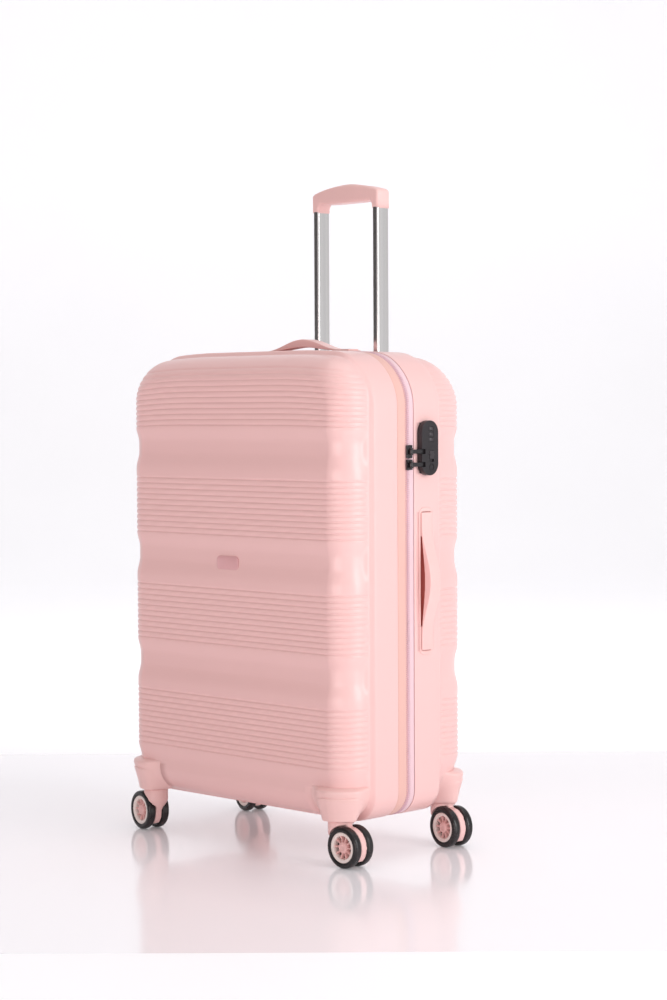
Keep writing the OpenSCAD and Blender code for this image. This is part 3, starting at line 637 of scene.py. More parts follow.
build_shell(
    "front_moulding", -1, "case_front",
    [lambda x, y, z: abs(x) > BLOCK_X and -y > FRONT_BLOCK_Y and z < BLOCK_TOP],
    edge=FRONT_EDGE, step=82.0, r_high=62.0, extra_d=[], extra_z=[BLOCK_TOP], **FRONT_FORM,
)
build_shell(
    "back_moulding", 1, "case_back",
    [
        lambda x, y, z: abs(x) > BLOCK_X and y > BACK_BLOCK_Y and z < BLOCK_TOP,
        lambda x, y, z: z > RIM_HIGH - 12 and cut_y[0] < y < cut_y[1] and abs(x) < 108.0,
        lambda x, y, z: x > RIM_HW - 9 and cut_y[0] < y < cut_y[1] and side_cut_z[0] < z < side_cut_z[1],
        lambda x, y, z: x > RIM_HW - 9 and cut_y[0] < y < cut_y[1] and lock_cut_z[0] < z < lock_cut_z[1],
        lambda x, y, z: abs(x) < CUP_X and y > 98 and z > CUP_Z[0] and z < CUP_Z[1],
    ],
    edge=BACK_EDGE, step=52.0, r_high=72.0, extra_d=[float(cut_y[0]), float(cut_y[1])],
    extra_z=[BLOCK_TOP, *(float(v) for v in (*side_cut_z, *lock_cut_z)), *CUP_Z], flat_hw=92.0, **BACK_FORM,
)

# ---------------------------------------------------------------- zip
HINGE_Z = (mm_box("hinge_strip")[0][2] - 0.5, mm_box("hinge_strip")[1][2] + 0.5)
ZIP_Y = float(mm_box("front_zip")[1][1] + mm_box("back_zip")[0][1]) / 2


def rim_path(count):
    """Points along the rim from the hinge strip's top, over the top, down the lock side and back under."""
    hw, lo, hi, rb, rt = (RIM[k] for k in ("hw", "lo", "hi", "rb", "rt"))
    legs = [
        ("line", (-hw, HINGE_Z[1]), (-hw, hi - rt), (-1, 0)),
        ("arc", (-hw + rt, hi - rt), rt, 180, 90),
        ("line", (-hw + rt, hi), (hw - rt, hi), (0, 1)),
        ("arc", (hw - rt, hi - rt), rt, 90, 0),
        ("line", (hw, hi - rt), (hw, lo + rb), (1, 0)),
        ("arc", (hw - rb, lo + rb), rb, 0, -90),
        ("line", (hw - rb, lo), (-hw + rb, lo), (0, -1)),
        ("arc", (-hw + rb, lo + rb), rb, -90, -180),
        ("line", (-hw, lo + rb), (-hw, HINGE_Z[0]), (-1, 0)),
    ]
    lengths = [
        math.dist(leg[1], leg[2]) if leg[0] == "line" else math.radians(abs(leg[3] - leg[4])) * leg[2]
        for leg in legs
    ]
    total = sum(lengths)
    out = []
    for i in range(count):
        s = total * i / (count - 1)
        k = 0
        while k < len(legs) - 1 and s > lengths[k]:
            s -= lengths[k]
            k += 1
        u = s / lengths[k]
        leg = legs[k]
        if leg[0] == "line":
            x = leg[1][0] + (leg[2][0] - leg[1][0]) * u
            z = leg[1][1] + (leg[2][1] - leg[1][1]) * u
            nx, nz = leg[3]
        else:
            a = math.radians(leg[3] + (leg[4] - leg[3]) * u)
            nx, nz = math.cos(a), math.sin(a)
            x, z = leg[1][0] + leg[2] * nx, leg[1][1] + leg[2] * nz
        out.append((x, z, nx, nz))
    return out, total


def at_rim(point, inset, y):
    x, z, nx, nz = point
    px, pz = x - nx * inset, z - nz * inset
    return px, y, pz - float(crown(px, pz))


def rim_sweep(name, profile, body, mat, replaces=()):
    """Closed (inset, y) profile swept along the rim, with UVs in metres."""
    count = 420
    path, total = rim_path(count)
    verts, uvs = [], []
    steps = [0.0]
    for a, b in zip(profile, profile[1:]):
        steps.append(steps[-1] + math.dist(a, b))
    for i, point in enumerate(path):
        for (inset, y), s in zip(profile, steps):
            verts.append(at_rim(point, inset, y))
            uvs.append((total * i / (count - 1) * MM, s * MM))
    n = len(profile)
    faces = grid_faces(count, n, close_cols=True)
    faces.append(list(range(n)))
    faces.append([(count - 1) * n + i for i in range(n)][::-1])
    obj = make_piece(name, verts, faces, body, mat, uvs=uvs, replaces=replaces)
    return orient_outward(triangulate_ngons(obj))


FRONT_TAPE = [
    (2.8, -44.5), (2.8, -35.35), (1.7, -35.2), (1.15, -34.8), (0.9, -33.6), (0.75, -29.5), (0.7, -25.5),
    (0.75, -21.5), (0.85, -19.6), (1.05, -18.4), (1.35, -17.7), (1.4, -16), (1.4, -14.15), (2.4, -14.1),
    (2.7, -18), (3.9, -19), (3.9, -44.5),
]
BACK_TAPE = [
    (2.4, -13.9), (1.4, -13.85), (1.4, -12), (1.35, -10.3), (1.05, -9.6), (0.85, -8.7), (0.8, -6.8),
    (0.8, -4.6), (0.82, -2.6), (0.9, -1.4), (1.3, -0.8), (2.8, -0.65), (2.8, 8.2), (3.9, 8.2), (3.9, -5),
    (3.7, -9.3),
]
rim_sweep("zip_tape_front", FRONT_TAPE, "case_front", TAPE, replaces=("front_zip",))
rim_sweep("zip_tape_back", BACK_TAPE, "case_back", LILAC, replaces=("back_zip",))

TOOTH_PITCH = 3.0
TOOTH_SECTION = [(-0.66, 3.2), (-0.62, 1.1), (-0.4, 0.45), (0.0, 0.25), (0.4, 0.45), (0.62, 1.1), (0.66, 3.2)]


def zip_teeth(name, root_y, tip_y, phase, body):
    """A row of coil teeth across the zip line."""
    _, total = rim_path(2)
    count = int(total / TOOTH_PITCH)
    path, _ = rim_path(2 * count + 1)
    verts, faces = [], []
    stations = (
        (root_y, 1.0, 0.0), ((root_y + tip_y) / 2, 1.0, 0.0),
        (tip_y + (root_y - tip_y) * 0.12, 0.92, 0.1), (tip_y, 0.6, 0.7),
    )
    for i in range(phase, 2 * count, 2):
        x, z, nx, nz = path[i]
        start = len(verts)
        for y, scale, drop in stations:
            for along, inset in TOOTH_SECTION:
                px, py, pz = at_rim((x - nz * along * scale, z + nx * along * scale, nx, nz), inset + drop, y)
                verts.append((px, py, pz))
        n = len(TOOTH_SECTION)
        faces += grid_faces(len(stations), n, start, close_cols=True)
        faces.append([start + k for k in range(n)])
        faces.append([start + (len(stations) - 1) * n + k for k in range(n)][::-1])
    obj = make_piece(name, verts, faces, body, TEETH)
    return orient_outward(obj)


zip_teeth("zip_teeth_front", ZIP_Y - 3.9, ZIP_Y + 0.9, 0, "case_front")
zip_teeth("zip_teeth_back", ZIP_Y + 3.9, ZIP_Y - 0.9, 1, "case_back")


def hinge_fabric():
    """The woven strip that stands in for the zip on the hinge side."""
    ys = np.linspace(FRONT_EDGE * -1 + 0.7, BACK_EDGE - 0.6, 19)
    zs = np.arange(HINGE_Z[0] + 0.6, HINGE_Z[1] - 0.5, 6.0)
    verts, uvs = [], []
    for z in zs:
        for y in ys:
            edge = min(y - ys[0], ys[-1] - y)
            seam = 0.35 * math.exp(-((edge - 3.2) / 0.6) ** 2)
            waves = 0.12 * math.sin(z / 9.0) * math.sin(y / 5.0)
            inset = 0.95 + 1.7 * (1 - float(smooth01(edge / 2.2))) + seam + waves
            verts.append((-(RIM_HW - inset), y, z))
            uvs.append((z * MM, y * MM))
    faces = grid_faces(len(zs), len(ys))
    obj = make_piece("hinge_fabric", verts, faces, None, TAPE, uvs=uvs, replaces=("hinge_strip",))
    modifier(obj, "SOLIDIFY", thickness=1.1 * MM, offset=1)
    width, length = float(ys[-1] - ys[0]) * MM, float(zs[-1] - zs[0]) * MM
    return obj, width, length


hinge_piece, strip_w, strip_l = hinge_fabric()
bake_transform(hinge_piece)

# ---------------------------------------------------------------- carry handles
HANDLE_Y = float(top_base_low[1] + top_base_high[1]) / 2
SIDE_Z = float(side_base_low[2] + side_base_high[2]) / 2
handle_low, handle_high = mm_box("top_handle")
HANDLE_HL = float(handle_high[0])
HANDLE_W = float(handle_high[1] - handle_low[1])
TRAY_DEPTH = 12.5


def handle_tray(name, place, node):
    """A handle's base: a raised frame and the pocket in it, as rounded outlines at rising heights."""
    hl, hw = HANDLE_HL + 7, HANDLE_W / 2 + 3.5
    # each row: how much shorter and narrower than the frame, corner radius, height
    frame_rows = [
        (8, 4, 6, 0.1 - TRAY_DEPTH), (6.5, 2.6, 7, 0.6 - TRAY_DEPTH), (6.2, 2.4, 7, -1.0),
        (2.0, 1.0, 9, -0.5), (0, 0, 10, 0.1), (0, 0, 10, 0.7), (0.35, 0.3, 10, 1.1),
        (1.0, 0.8, 9.5, 1.3), (5.2, 1.9, 6, 1.3),
        (5.9, 2.4, 5, 1.0), (6.1, 2.7, 4.6, 0.4),
    ]
    pocket_rows = [(6.2, 2.8, 4.5, 0.0), (6.2, 2.8, 4.5, 2.6 - TRAY_DEPTH), (7.0, 3.5, 4.2, 2.1 - TRAY_DEPTH)]
    # the pocket gets the painted shade and glow material
    for part, rows, mat in (("frame", frame_rows, HANDLE), ("pocket", pocket_rows, POCKET_SHADE_GLOW)):
        verts, n = [], 0
        for short, slim, r, h in rows:
            loop = rounded_loop(2 * (hl - short), 2 * (hw - slim), r)
            n = len(loop)
            verts += [place(u, h, v) for u, v in loop]
        faces = grid_faces(len(rows), n, close_cols=True)
        if part == "pocket":
            faces.append([(len(rows) - 1) * n + i for i in range(n)])
        else:
            faces.append(list(range(n))[::-1])
        replaced = (node,) if part == "frame" else ()
        obj = make_piece(f"{name}_{part}", verts, faces, "case_back", mat,
                         replaces=replaced)
        orient_outward(obj)
        if part == "pocket":
            # seen from inside: the pocket's walls face the handle
            obj.data.flip_normals()
            modifier(obj, "SOLIDIFY", thickness=0.3 * MM, offset=-1)
        triangulate_ngons(obj)


def on_top(u, v, w):
    return u, HANDLE_Y + w, RIM_HIGH + v


def on_side(u, v, w):
    return RIM_HW + v, HANDLE_Y + w, SIDE_Z - u


handle_tray("top_handle_tray", on_top, "top_handle_base")
handle_tray("side_handle_tray", on_side, "side_handle_base")

# ---------------------------------------------------------------- trolley
grip_low_mm, grip_high_mm = mm_box("trolley_grip")
TROLLEY_Y = float(grip_low_mm[1] + grip_high_mm[1]) / 2
GRIP_LOW = float(grip_low_mm[2])
GRIP_HL = float(grip_high_mm[0])
GRIP_W = float(grip_high_mm[1] - grip_low_mm[1])
TUBE_X = GRIP_HL - 7.5
GRIP_TOP = float(grip_high_mm[2]) - 11.2


def on_trolley(u, v, w):
    return u, TROLLEY_Y + w, v


def grip_edge(x):
    """Height of the grip's bowed top."""
    return GRIP_TOP + 11.0 * (1 - (abs(x) / GRIP_HL) ** 2)


def trolley_grip():
    """The grip's front view: a bowed top with rounded shoulders, and an arch between the two tubes."""
    r = 5

    def shoulder(side, degrees):
        arc = np.radians(degrees)
        return [(side * (GRIP_HL - r) + r * math.cos(a), GRIP_TOP - 4.4 + r * math.sin(a)) for a in arc]

    inner = TUBE_X - 7
    top = [(x, grip_edge(x)) for x in np.linspace(GRIP_HL - r, -GRIP_HL + r, 45)]
    under = [(i * inner, grip_edge(i * inner) - 19 - 9 * (1 - i * i) ** 0.8) for i in np.linspace(-1, 1, 33)]
    loop = top + shoulder(-1, [112, 135, 158, 180])
    leg = [(inner - 0.2, GRIP_LOW + 6), (inner, GRIP_LOW), (GRIP_HL, GRIP_LOW), (GRIP_HL, GRIP_LOW + 12)]
    loop += [(-x, z) for x, z in leg[::-1]] + under[1:-1] + leg
    loop += shoulder(1, [0, 22, 45, 68])
    return prism_piece(
        "trolley_handle", loop, GRIP_W / 2, 4.5, on_trolley, "trolley", HANDLE,
        replaces=("trolley_grip",), steps=6,
    )


trolley_handle = trolley_grip()
button_low, button_high = mm_box("trolley_button")
BUTTON_HL = float(button_high[0])
BUTTON_HW = float(button_high[1] - button_low[1]) / 2


def evaluated_mesh(obj):
    """A new mesh with the object's modifiers applied."""
    bpy.context.view_layer.update()
    graph = bpy.context.evaluated_depsgraph_get()
    return bpy.data.meshes.new_from_object(obj.evaluated_get(graph))


def cut_block(obj, verts, faces):
    """Cuts a plain block of millimetre points out of a piece and leaves no cutter behind."""
    mesh = bpy.data.meshes.new("cutter")
    mesh.from_pydata([tuple(c * MM for c in v) for v in verts], [], faces)
    cutter = orient_outward(add_object("cutter", mesh))
    mod = modifier(obj, "BOOLEAN", operation="DIFFERENCE", solver="EXACT", object=cutter)
    result = evaluated_mesh(obj)
    obj.modifiers.remove(mod)
    old = obj.data
    obj.data = result
    bpy.data.objects.remove(cutter)
    bpy.data.meshes.remove(old)


def block_points(x0, x1, y0, y1, z0, z1):
    verts = [(x, y, z) for x in (x0, x1) for y in (y0, y1) for z in (z0, z1)]
    faces = [(0, 1, 3, 2), (4, 6, 7, 5), (0, 4, 5, 1), (2, 3, 7, 6), (0, 2, 6, 4), (1, 5, 7, 3)]
    return verts, faces


BUTTON_GAP = 0.45
cut_hl, cut_hw = BUTTON_HL + BUTTON_GAP, BUTTON_HW + BUTTON_GAP
cut_block(trolley_handle, *block_points(
    -cut_hl, cut_hl, TROLLEY_Y - cut_hw, TROLLEY_Y + cut_hw, GRIP_TOP - 4.0, GRIP_TOP + 30,
))
button_loop = [
    (x, grip_edge(x) + 0.6 + 0.5 * math.cos(math.pi * x / 2 / BUTTON_HL))
    for x in np.linspace(BUTTON_HL, -BUTTON_HL, 25)
]
button_loop += [(-BUTTON_HL, GRIP_TOP + 1.5), (BUTTON_HL, GRIP_TOP + 1.5)]
prism_piece("trolley_press_button", button_loop, BUTTON_HW, 1.6, on_trolley, "trolley_release",
            CASTER, replaces=("trolley_button",))

# ---------------------------------------------------------------- badge
badge_low, badge_high = mm_box("badge")
badge_c = (badge_low + badge_high) / 2
badge_w, _, badge_h = badge_high - badge_low
for name, margin, corner, half, edge, forward, replaced in (
    ("front_plate", 0, 6.5, 0.85, 0.5, 0, ("badge",)), ("front_plate_inlay", 5, 4.2, 0.25, 0.2, 0.95, ()),
):
    prism_piece(
        name, rounded_loop(badge_w - margin, badge_h - margin, corner), half, edge,
        lambda u, v, w: (badge_c[0] + u, badge_c[1] - forward - w, badge_c[2] + v),
        "case_front", BADGE, replaces=replaced,
    )

# ---------------------------------------------------------------- casters
CASTERS = ("front_right", "front_left", "back_right", "back_left")
HOUSING_X = 167.0
HOUSING_Y = {True: 88.0, False: 76.0}
# Height and how far the housing stands out from the shell there, from its foot up to its top lip.
HOUSING_OUTLINE = [
    (66.3, -3.4), (66.6, -2.4), (67.6, -1.7), (72, -0.9), (78, 0.3), (84, 1.9), (90, 3.6), (95, 5.0),
    (99, 6.1), (103, 7.0), (106, 7.6), (108.4, 7.95), (109.8, 7.9), (110.9, 7.4), (111.7, 6.5), (112.3, 5.2),
    (112.9, 3.4), (113.6, 1.2), (114.3, -1.2), (115.2, -4.6),
]


def housing_path(face, fillet, t_end, block_y):
    """Points (x, depth, normal x, normal depth) round the shell's corner, and the length up to each."""
    d0 = face - fillet * math.sin(t_end)
    s_face = fillet * (1 - math.cos(t_end))
    path = [(x, face, 0.0, 1.0) for x in np.linspace(HOUSING_X, DISH_HW - s_face - 0.5, 9)]
    for t in np.linspace(t_end, 0, 26):
        x, d = DISH_HW - fillet * (1 - math.cos(t)), d0 + fillet * math.sin(t)
        path.append((x, d, math.cos(t), math.sin(t)))
    path += [(DISH_HW, d, 1.0, 0.0) for d in np.linspace(d0, block_y, 6 if d0 - block_y < 8 else 12)[1:]]
    arc = [0.0]
    for a, b in zip(path, path[1:]):
        arc.append(arc[-1] + math.hypot(a[0] - b[0], a[1] - b[1]))
    return path, arc


def panel_bulge(s, total, z):
    """The raised panel on a housing: arched top, rounded corners and a line round it."""
    corner = 15.0
    du = min(s - 10, total - 10 - s)
    dv = 101.0 - 4.5 * ((s / total - 0.5) * 2) ** 2 - z
    inside = min(du, dv)
    if du < corner and dv < corner:
        inside = corner - math.hypot(corner - du, corner - dv)
    return 1.1 * float(smooth01(inside / 1.6 + 0.5)) - 0.9 * math.exp(-((inside + 1.2) / 1.0) ** 2)


def housing(name, c):
    """The moulded corner over one caster. Returns the body that it rides on."""
    high = mm_box(f"caster_housing_{c}")[1]
    sx = 1 if high[0] > 0 else -1
    sy = 1 if high[1] > 0 else -1
    front_side = sy < 0
    form = FRONT_FORM if front_side else BACK_FORM
    face, fillet, r_low, t_end = form["face"], form["fillet"], form["r_low"], math.radians(form["cap_t"])
    block_y = HOUSING_Y[front_side]
    path, arc = housing_path(face, fillet, t_end, block_y)
    total = arc[-1]
    zs = sorted(set([z for z, _ in HOUSING_OUTLINE] + list(np.arange(68.5, 109, 1.5))))
    zs = [z for i, z in enumerate(zs) if i == 0 or z - zs[i - 1] > 0.25]
    heights, offsets = zip(*HOUSING_OUTLINE)
    verts = []
    for z in zs:
        p = float(np.interp(z, heights, offsets))
        # where the shell's own face and side wall are at this height, which the two ends run out into
        rise = max(z - DISH_LOW, 0.0)
        turn = min(t_end, math.acos(max(-1.0, 1 - rise / fillet)))
        inner_end = min(p, fillet * (math.sin(turn) - math.sin(t_end)) - 4.25)
        wall_drop = r_low - math.sqrt(r_low ** 2 - max(0.0, r_low - rise) ** 2)
        outer_end = min(p, 0.1 - wall_drop if front_side else -wall_drop - 4.25)
        row = []
        for (x, d, nx, nd), s in zip(path, arc):
            off = inner_end + (p + panel_bulge(s, total, z) - inner_end) * float(smooth01(s / 27.0))
            off = outer_end + (off - outer_end) * float(smooth01((total - s) / 30.0))
            row.append((x + nx * off, d + nd * off))
        row.append((min(DISH_HW - 22, row[-1][0] - 4), block_y))
        row.append((HOUSING_X, block_y))
        row.append((HOUSING_X, max(block_y + 0.5, min(face - 22, row[0][1] - 4))))
        verts += [(sx * x, sy * d, z) for x, d in row]
    n = len(path) + 3
    faces = grid_faces(len(zs), n, close_cols=True)
    faces.append(list(range(n))[::-1])
    faces.append([(len(zs) - 1) * n + i for i in range(n)])
    body = "case_front" if front_side else "case_back"
    node = f"caster_housing_{c}"
    obj = make_piece(name, verts, faces, body, CASTER, replaces=(node,), flat_angle=50)
    orient_outward(triangulate_ngons(obj))
    return body


def joint(name):
    return next(j for j in frame["joints"] if j["name"] == name)


def axle_frame(c, w):
    """Wheel centre, unit axle direction pointing out of the fork and unit trail direction, in millimetres."""
    low, high = mm_box(f"wheel_tyre_{c}_{w}")
    spin = joint(f"wheel_{c}_{w}_spin")
    swivel = joint(f"caster_{c}_swivel")
    centre = np.array(spin["pos_m"]) / MM
    axis = np.array(spin["axis"], float)
    mid = (low + high) / 2
    out = axis if np.dot(mid - centre, axis) > 0 else -axis
    trail = centre - np.array([swivel["pos_m"][0] / MM, swivel["pos_m"][1] / MM, centre[2]])
    return centre, out, trail / np.linalg.norm(trail)


# A wheel's sections, as (radius, distance out from the caster's middle plane).
TYRE_PROFILE = [
    (24.45, 6.0), (26.4, 6.0), (27.8, 6.3), (28.9, 7.0), (29.6, 8.1), (29.95, 9.6), (30.0, 11.3),
    (30.0, 13.2), (29.95, 14.9), (29.6, 16.4), (28.9, 17.5), (27.9, 18.2), (26.6, 18.5),
    (24.4, 18.5), (23.0, 18.35),
    (22.4, 17.9), (22.25, 17.2), (24.45, 17.0),
]
RING_PROFILE = [
    (24.4, 6.4), (24.4, 16.8), (22.2, 17.0), (21.9, 17.6), (21.2, 18.0), (19.8, 18.05), (18.4, 17.8),
    (17.4, 17.0), (16.9, 15.6), (16.7, 13.0), (16.7, 6.4),
]
HUB_PROFILE = [
    (2.62, 6.4), (8.8, 6.4), (8.6, 13.6), (8.2, 15.6), (7.3, 16.9), (6.0, 17.6), (4.8, 17.8), (4.4, 17.5),
    (4.0, 17.2), (2.2, 17.1), (0.0, 17.0), (0.0, 16.8), (2.62, 16.8),
]
DISC_PROFILE = [(2.7, 6.6), (18.0, 6.6), (18.0, 8.4), (2.7, 8.4)]
COLLAR_PROFILE = [(13.0, 66.25), (20.6, 66.25), (21.0, 66.6), (21.0, 67.8), (20.4, 68.4), (13.0, 68.4)]
SPOKES = 10
# Radius, half width and top of a spoke's sections.
SPOKE_SECTIONS = [
    (5.0, 1.1, 15.4), (8.0, 1.0, 15.0), (11.5, 0.95, 14.8), (15.0, 1.1, 15.2), (18.5, 1.5, 16.0),
]
SPOKE_BASE, SPOKE_BEVEL = 8.0, 0.6


def spoke_section(half, top):
    """Half of a spoke's section with bevelled shoulders, mirrored: (across, out) points."""
    side = [(half, SPOKE_BASE), (half, top - 0.7), (half - SPOKE_BEVEL, top)]
    return [(-t, h) for t, h in side] + side[::-1]


def wheel(c, w):
    centre, out, trail = axle_frame(c, w)
    upward = np.array([0.0, 0.0, 1.0])

    def place(x, y, h):
        return tuple(centre + trail * x + upward * y + out * h)

    body = f"wheel_{c}_{w}"
    tyre_node, rim_node = f"wheel_tyre_{c}_{w}", f"wheel_rim_{c}_{w}"
    lathe(TYRE_PROFILE, 72, place, f"tyre_{c}_{w}", body, TYRE, replaces=(tyre_node,))
    lathe(RING_PROFILE, 72, place, f"rim_ring_{c}_{w}", body, RING, replaces=(rim_node,),
          flat_angle=40)
    lathe(HUB_PROFILE, 40, place, f"rim_hub_{c}_{w}", body, WHEEL, flat_angle=50)
    lathe(DISC_PROFILE, 48, place, f"rim_web_{c}_{w}", body, WEB, flat_angle=40)
    verts, faces = [], []
    for k in range(SPOKES):
        a = 2 * math.pi * k / SPOKES
        along, across = np.array([math.cos(a), math.sin(a)]), np.array([-math.sin(a), math.cos(a)])
        start = len(verts)
        for r, half, top in SPOKE_SECTIONS:
            for t, h in spoke_section(half, top):
                verts.append(place(*(along * r + across * t), h))
        last = start + 6 * (len(SPOKE_SECTIONS) - 1)
        faces += grid_faces(len(SPOKE_SECTIONS), 6, start, close_cols=True)
        faces.append([start + i for i in range(6)][::-1])
        faces.append([last + i for i in range(6)])
    spokes = make_piece(f"rim_spokes_{c}_{w}", verts, faces, body, WHEEL, flat_angle=50)
    orient_outward(spokes)


def smoothed_copy(node, name, body, mat, voxel, rounds):
    """A CAD node's shape with its edges melted together, as an injection-moulded piece has them."""
    mesh = NODES[node].data.copy()
    obj = add_object(name, mesh)
    mesh.materials.clear()
    modifier(obj, "REMESH", mode="VOXEL", voxel_size=voxel * MM)
    modifier(obj, "SMOOTH", factor=0.5, iterations=rounds)
    result = evaluated_mesh(obj)
    obj.modifiers.clear()
    obj.data = result
    bpy.data.meshes.remove(mesh)
    for polygon in result.polygons:
        polygon.use_smooth = True
    result.materials.append(mat)
    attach(obj, body)
    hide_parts(node)
    return obj


for side in ("top", "side"):
    smoothed_copy(f"{side}_handle", f"{side}_carry_handle", f"{side}_grip", HANDLE, 0.9, 6)

for c in CASTERS:
    case_body = housing(f"corner_housing_{c}", c)
    smoothed_copy(f"caster_fork_{c}", f"swivel_fork_{c}", f"caster_{c}", CASTER, 1.3, 4)
    swivel_at = np.array(joint(f"caster_{c}_swivel")["pos_m"]) / MM
    lathe(
        COLLAR_PROFILE, 56, lambda x, y, h: (swivel_at[0] + x, swivel_at[1] + y, h), f"swivel_collar_{c}",
        case_body, CASTER, flat_angle=50,
    )
    for w in ("near", "far"):
        wheel(c, w)

# ---------------------------------------------------------------- linings, divider and straps
def box_uv(obj):
    """UVs in metres, projected along each face's main direction."""
    mesh = obj.data
    layer = mesh.uv_layers.new(name="UVMap")
    for polygon in mesh.polygons:
        steep = [abs(c) for c in polygon.normal]
        u, v = ((1, 2), (0, 2), (0, 1))[steep.index(max(steep))]
        for index in polygon.loop_indices:
            co = mesh.vertices[mesh.loops[index].vertex_index].co
            layer.data[index].uv = (co[u], co[v])


def rounded_outline(hw, lo, hi, r_low, r_high, inset, count):
    """Points spread evenly round a rounded outline, starting from the middle of its top."""
    hw, lo, hi = hw - inset, lo + inset, hi - inset
    rb, rt = max(r_low - inset, 8.0), max(r_high - inset, 8.0)
    loop = [(0.0, hi)]
    for sx, z, r, a0 in ((1, hi, rt, 90), (1, lo, rb, 0), (-1, lo, rb, -90), (-1, hi, rt, -180)):
        cx, cz = sx * (hw - r), z - r if z == hi else z + r
        arc = [math.radians(a0 - a) for a in range(0, 91, 6)]
        loop += [(cx + r * math.cos(a), cz + r * math.sin(a)) for a in arc]
    loop = np.array(loop + [(0.0, hi)])
    along = np.concatenate([[0], np.cumsum(np.hypot(*np.diff(loop, axis=0).T))])
    at = np.arange(count) * along[-1] / count
    return np.column_stack([np.interp(at, along, loop[:, 0]), np.interp(at, along, loop[:, 1])])


CLOTH_COUNT = 320
CLOTH_T = 1.0
CUP_CLEAR = 1.6
# Room that the cloth leaves round a caster housing, and how far its tent over it reaches.
TENT_GAP, TENT_TOP, TENT_REACH = 1.6, 4.8, 15


def closed_faces(rings):
    """Faces of a number of cloth rings and of the fan that closes them."""
    return grid_faces(rings, CLOTH_COUNT, close_cols=True) + fan_faces(rings - 1, CLOTH_COUNT)


def lining(name, node, sign, body, fillet, r_low, r_high, block_y):
    """The cloth inside one half: walls, rounded fillet and floor, tented over the two caster housings."""
    low, high = mm_box(node)
    hw, lo, hi = float(high[0]) - 0.1, float(low[2]) + 0.1, float(high[2]) - 0.1
    depths = sorted(abs(float(v)) for v in (low[1], high[1]))
    edge, face = depths[0] + 0.3, depths[1] - 0.3
    d0 = face - fillet
    rings = [(0.0, d) for d in np.linspace(edge, d0, max(3, int((d0 - edge) / 5)))]
    turns = np.radians(np.arange(9, 91, 9))
    rings += [(fillet * (1 - math.cos(t)), d0 + fillet * math.sin(t)) for t in turns]
    verts = []
    loops = [(rounded_outline(hw, lo, hi, r_low, r_high, inset, CLOTH_COUNT), d) for inset, d in rings]
    middle = np.array([0.0, (lo + hi) / 2])
    loops += [(ring, face) for ring in closing_rings(loops[-1][0], middle, 26)]
    for loop, d in loops:
        for x, z in loop:
            ripple = 0.5 + 0.5 * math.sin(x / 23 + 1.3) * math.sin(z / 29) * math.sin(d / 17 + x / 60)
            y = d - 1.3 * ripple * float(smooth01((d - d0 - 4) / 10))
            beyond = max(BLOCK_X - TENT_GAP - abs(x), z - BLOCK_TOP - TENT_TOP, 0.0)
            y = min(y, block_y - TENT_GAP + 4 * max(beyond - TENT_REACH, 0.0))
            if sign > 0:
                beside = math.hypot(max(abs(x) - float(cup_high[0]), 0), max(float(cup_low[2]) - z, 0))
                y = min(y, float(cup_low[1]) - CUP_CLEAR + 0.4 * beside)
            verts.append((x, sign * y, z - float(crown(x, z))))
    faces = closed_faces(len(loops) - 1)
    obj = make_piece(name, verts, faces, body, LINING, replaces=(node,), merge=0.01)
    orient_outward(triangulate_ngons(obj))
    box_uv(obj)
    modifier(obj, "SOLIDIFY", thickness=CLOTH_T * MM, offset=-1)


for side, sign, fillet, r_low, r_high, block_y in (
    ("front", -1, 38.0, 34.6, 54.6, 87.0), ("back", 1, 28.0, 58.6, 64.6, 75.0),
):
    lining(f"{side}_lining_cloth", f"{side}_lining", sign, f"case_{side}", fillet, r_low, r_high, block_y)

divider_low, divider_high = mm_box("divider_panel")


def divider():
    """The padded cloth wall over the front half, with its stitched border and piped edge."""
    y1 = float(divider_high[1])
    hw, lo, hi = float(divider_high[0]) - 0.3, float(divider_low[2]) + 0.3, float(divider_high[2]) - 0.3
    middle = np.array([0.0, (lo + hi) / 2])
    insets = [0.0, 3, 6, 9, 12, 14, 16, 19, 24, 30, 40]
    loops = [rounded_outline(hw, lo, hi, 38.0, 72.0, inset, CLOTH_COUNT) for inset in insets]
    outer = loops[0]
    loops += closing_rings(loops[-1], middle, 20)
    insets += [60.0] * (len(loops) - len(insets))
    verts = []
    for loop, inset in zip(loops, insets):
        groove = math.exp(-((inset - 14.0) / 1.6) ** 2)
        for x, z in loop:
            swell = 0.5 + 0.5 * math.sin(x / 37) * math.sin(z / 41 + 0.6)
            y = y1 - 1.2 + 0.9 * swell * float(smooth01((inset - 14) / 12)) - 0.8 * groove
            verts.append((x, min(y, y1), z - float(crown(x, z))))
    faces = closed_faces(len(loops) - 1)
    obj = make_piece("divider_cloth", verts, faces, "case_front", PANEL,
                     replaces=("divider_panel",), merge=0.01)
    triangulate_ngons(obj)
    if obj.data.polygons[0].normal.y < 0:
        obj.data.flip_normals()
    box_uv(obj)
    modifier(obj, "SOLIDIFY", thickness=1.4 * MM, offset=-1)
    piping, sides = [], 8
    for x, z in outer:
        inward = middle - np.array([x, z])
        inward /= np.linalg.norm(inward)
        for k in range(sides):
            a = 2 * math.pi * k / sides
            px, pz = np.array([x, z]) + inward * (2.0 + 1.5 * math.cos(a))
            piping.append((px, y1 - 1.6 + 1.5 * math.sin(a), pz - float(crown(px, pz))))
    faces = grid_faces(CLOTH_COUNT, sides, close_rows=True, close_cols=True)
    tube = make_piece("divider_piping", piping, faces, "case_front", WEBBING)
    orient_outward(tube)
    box_uv(tube)


divider()


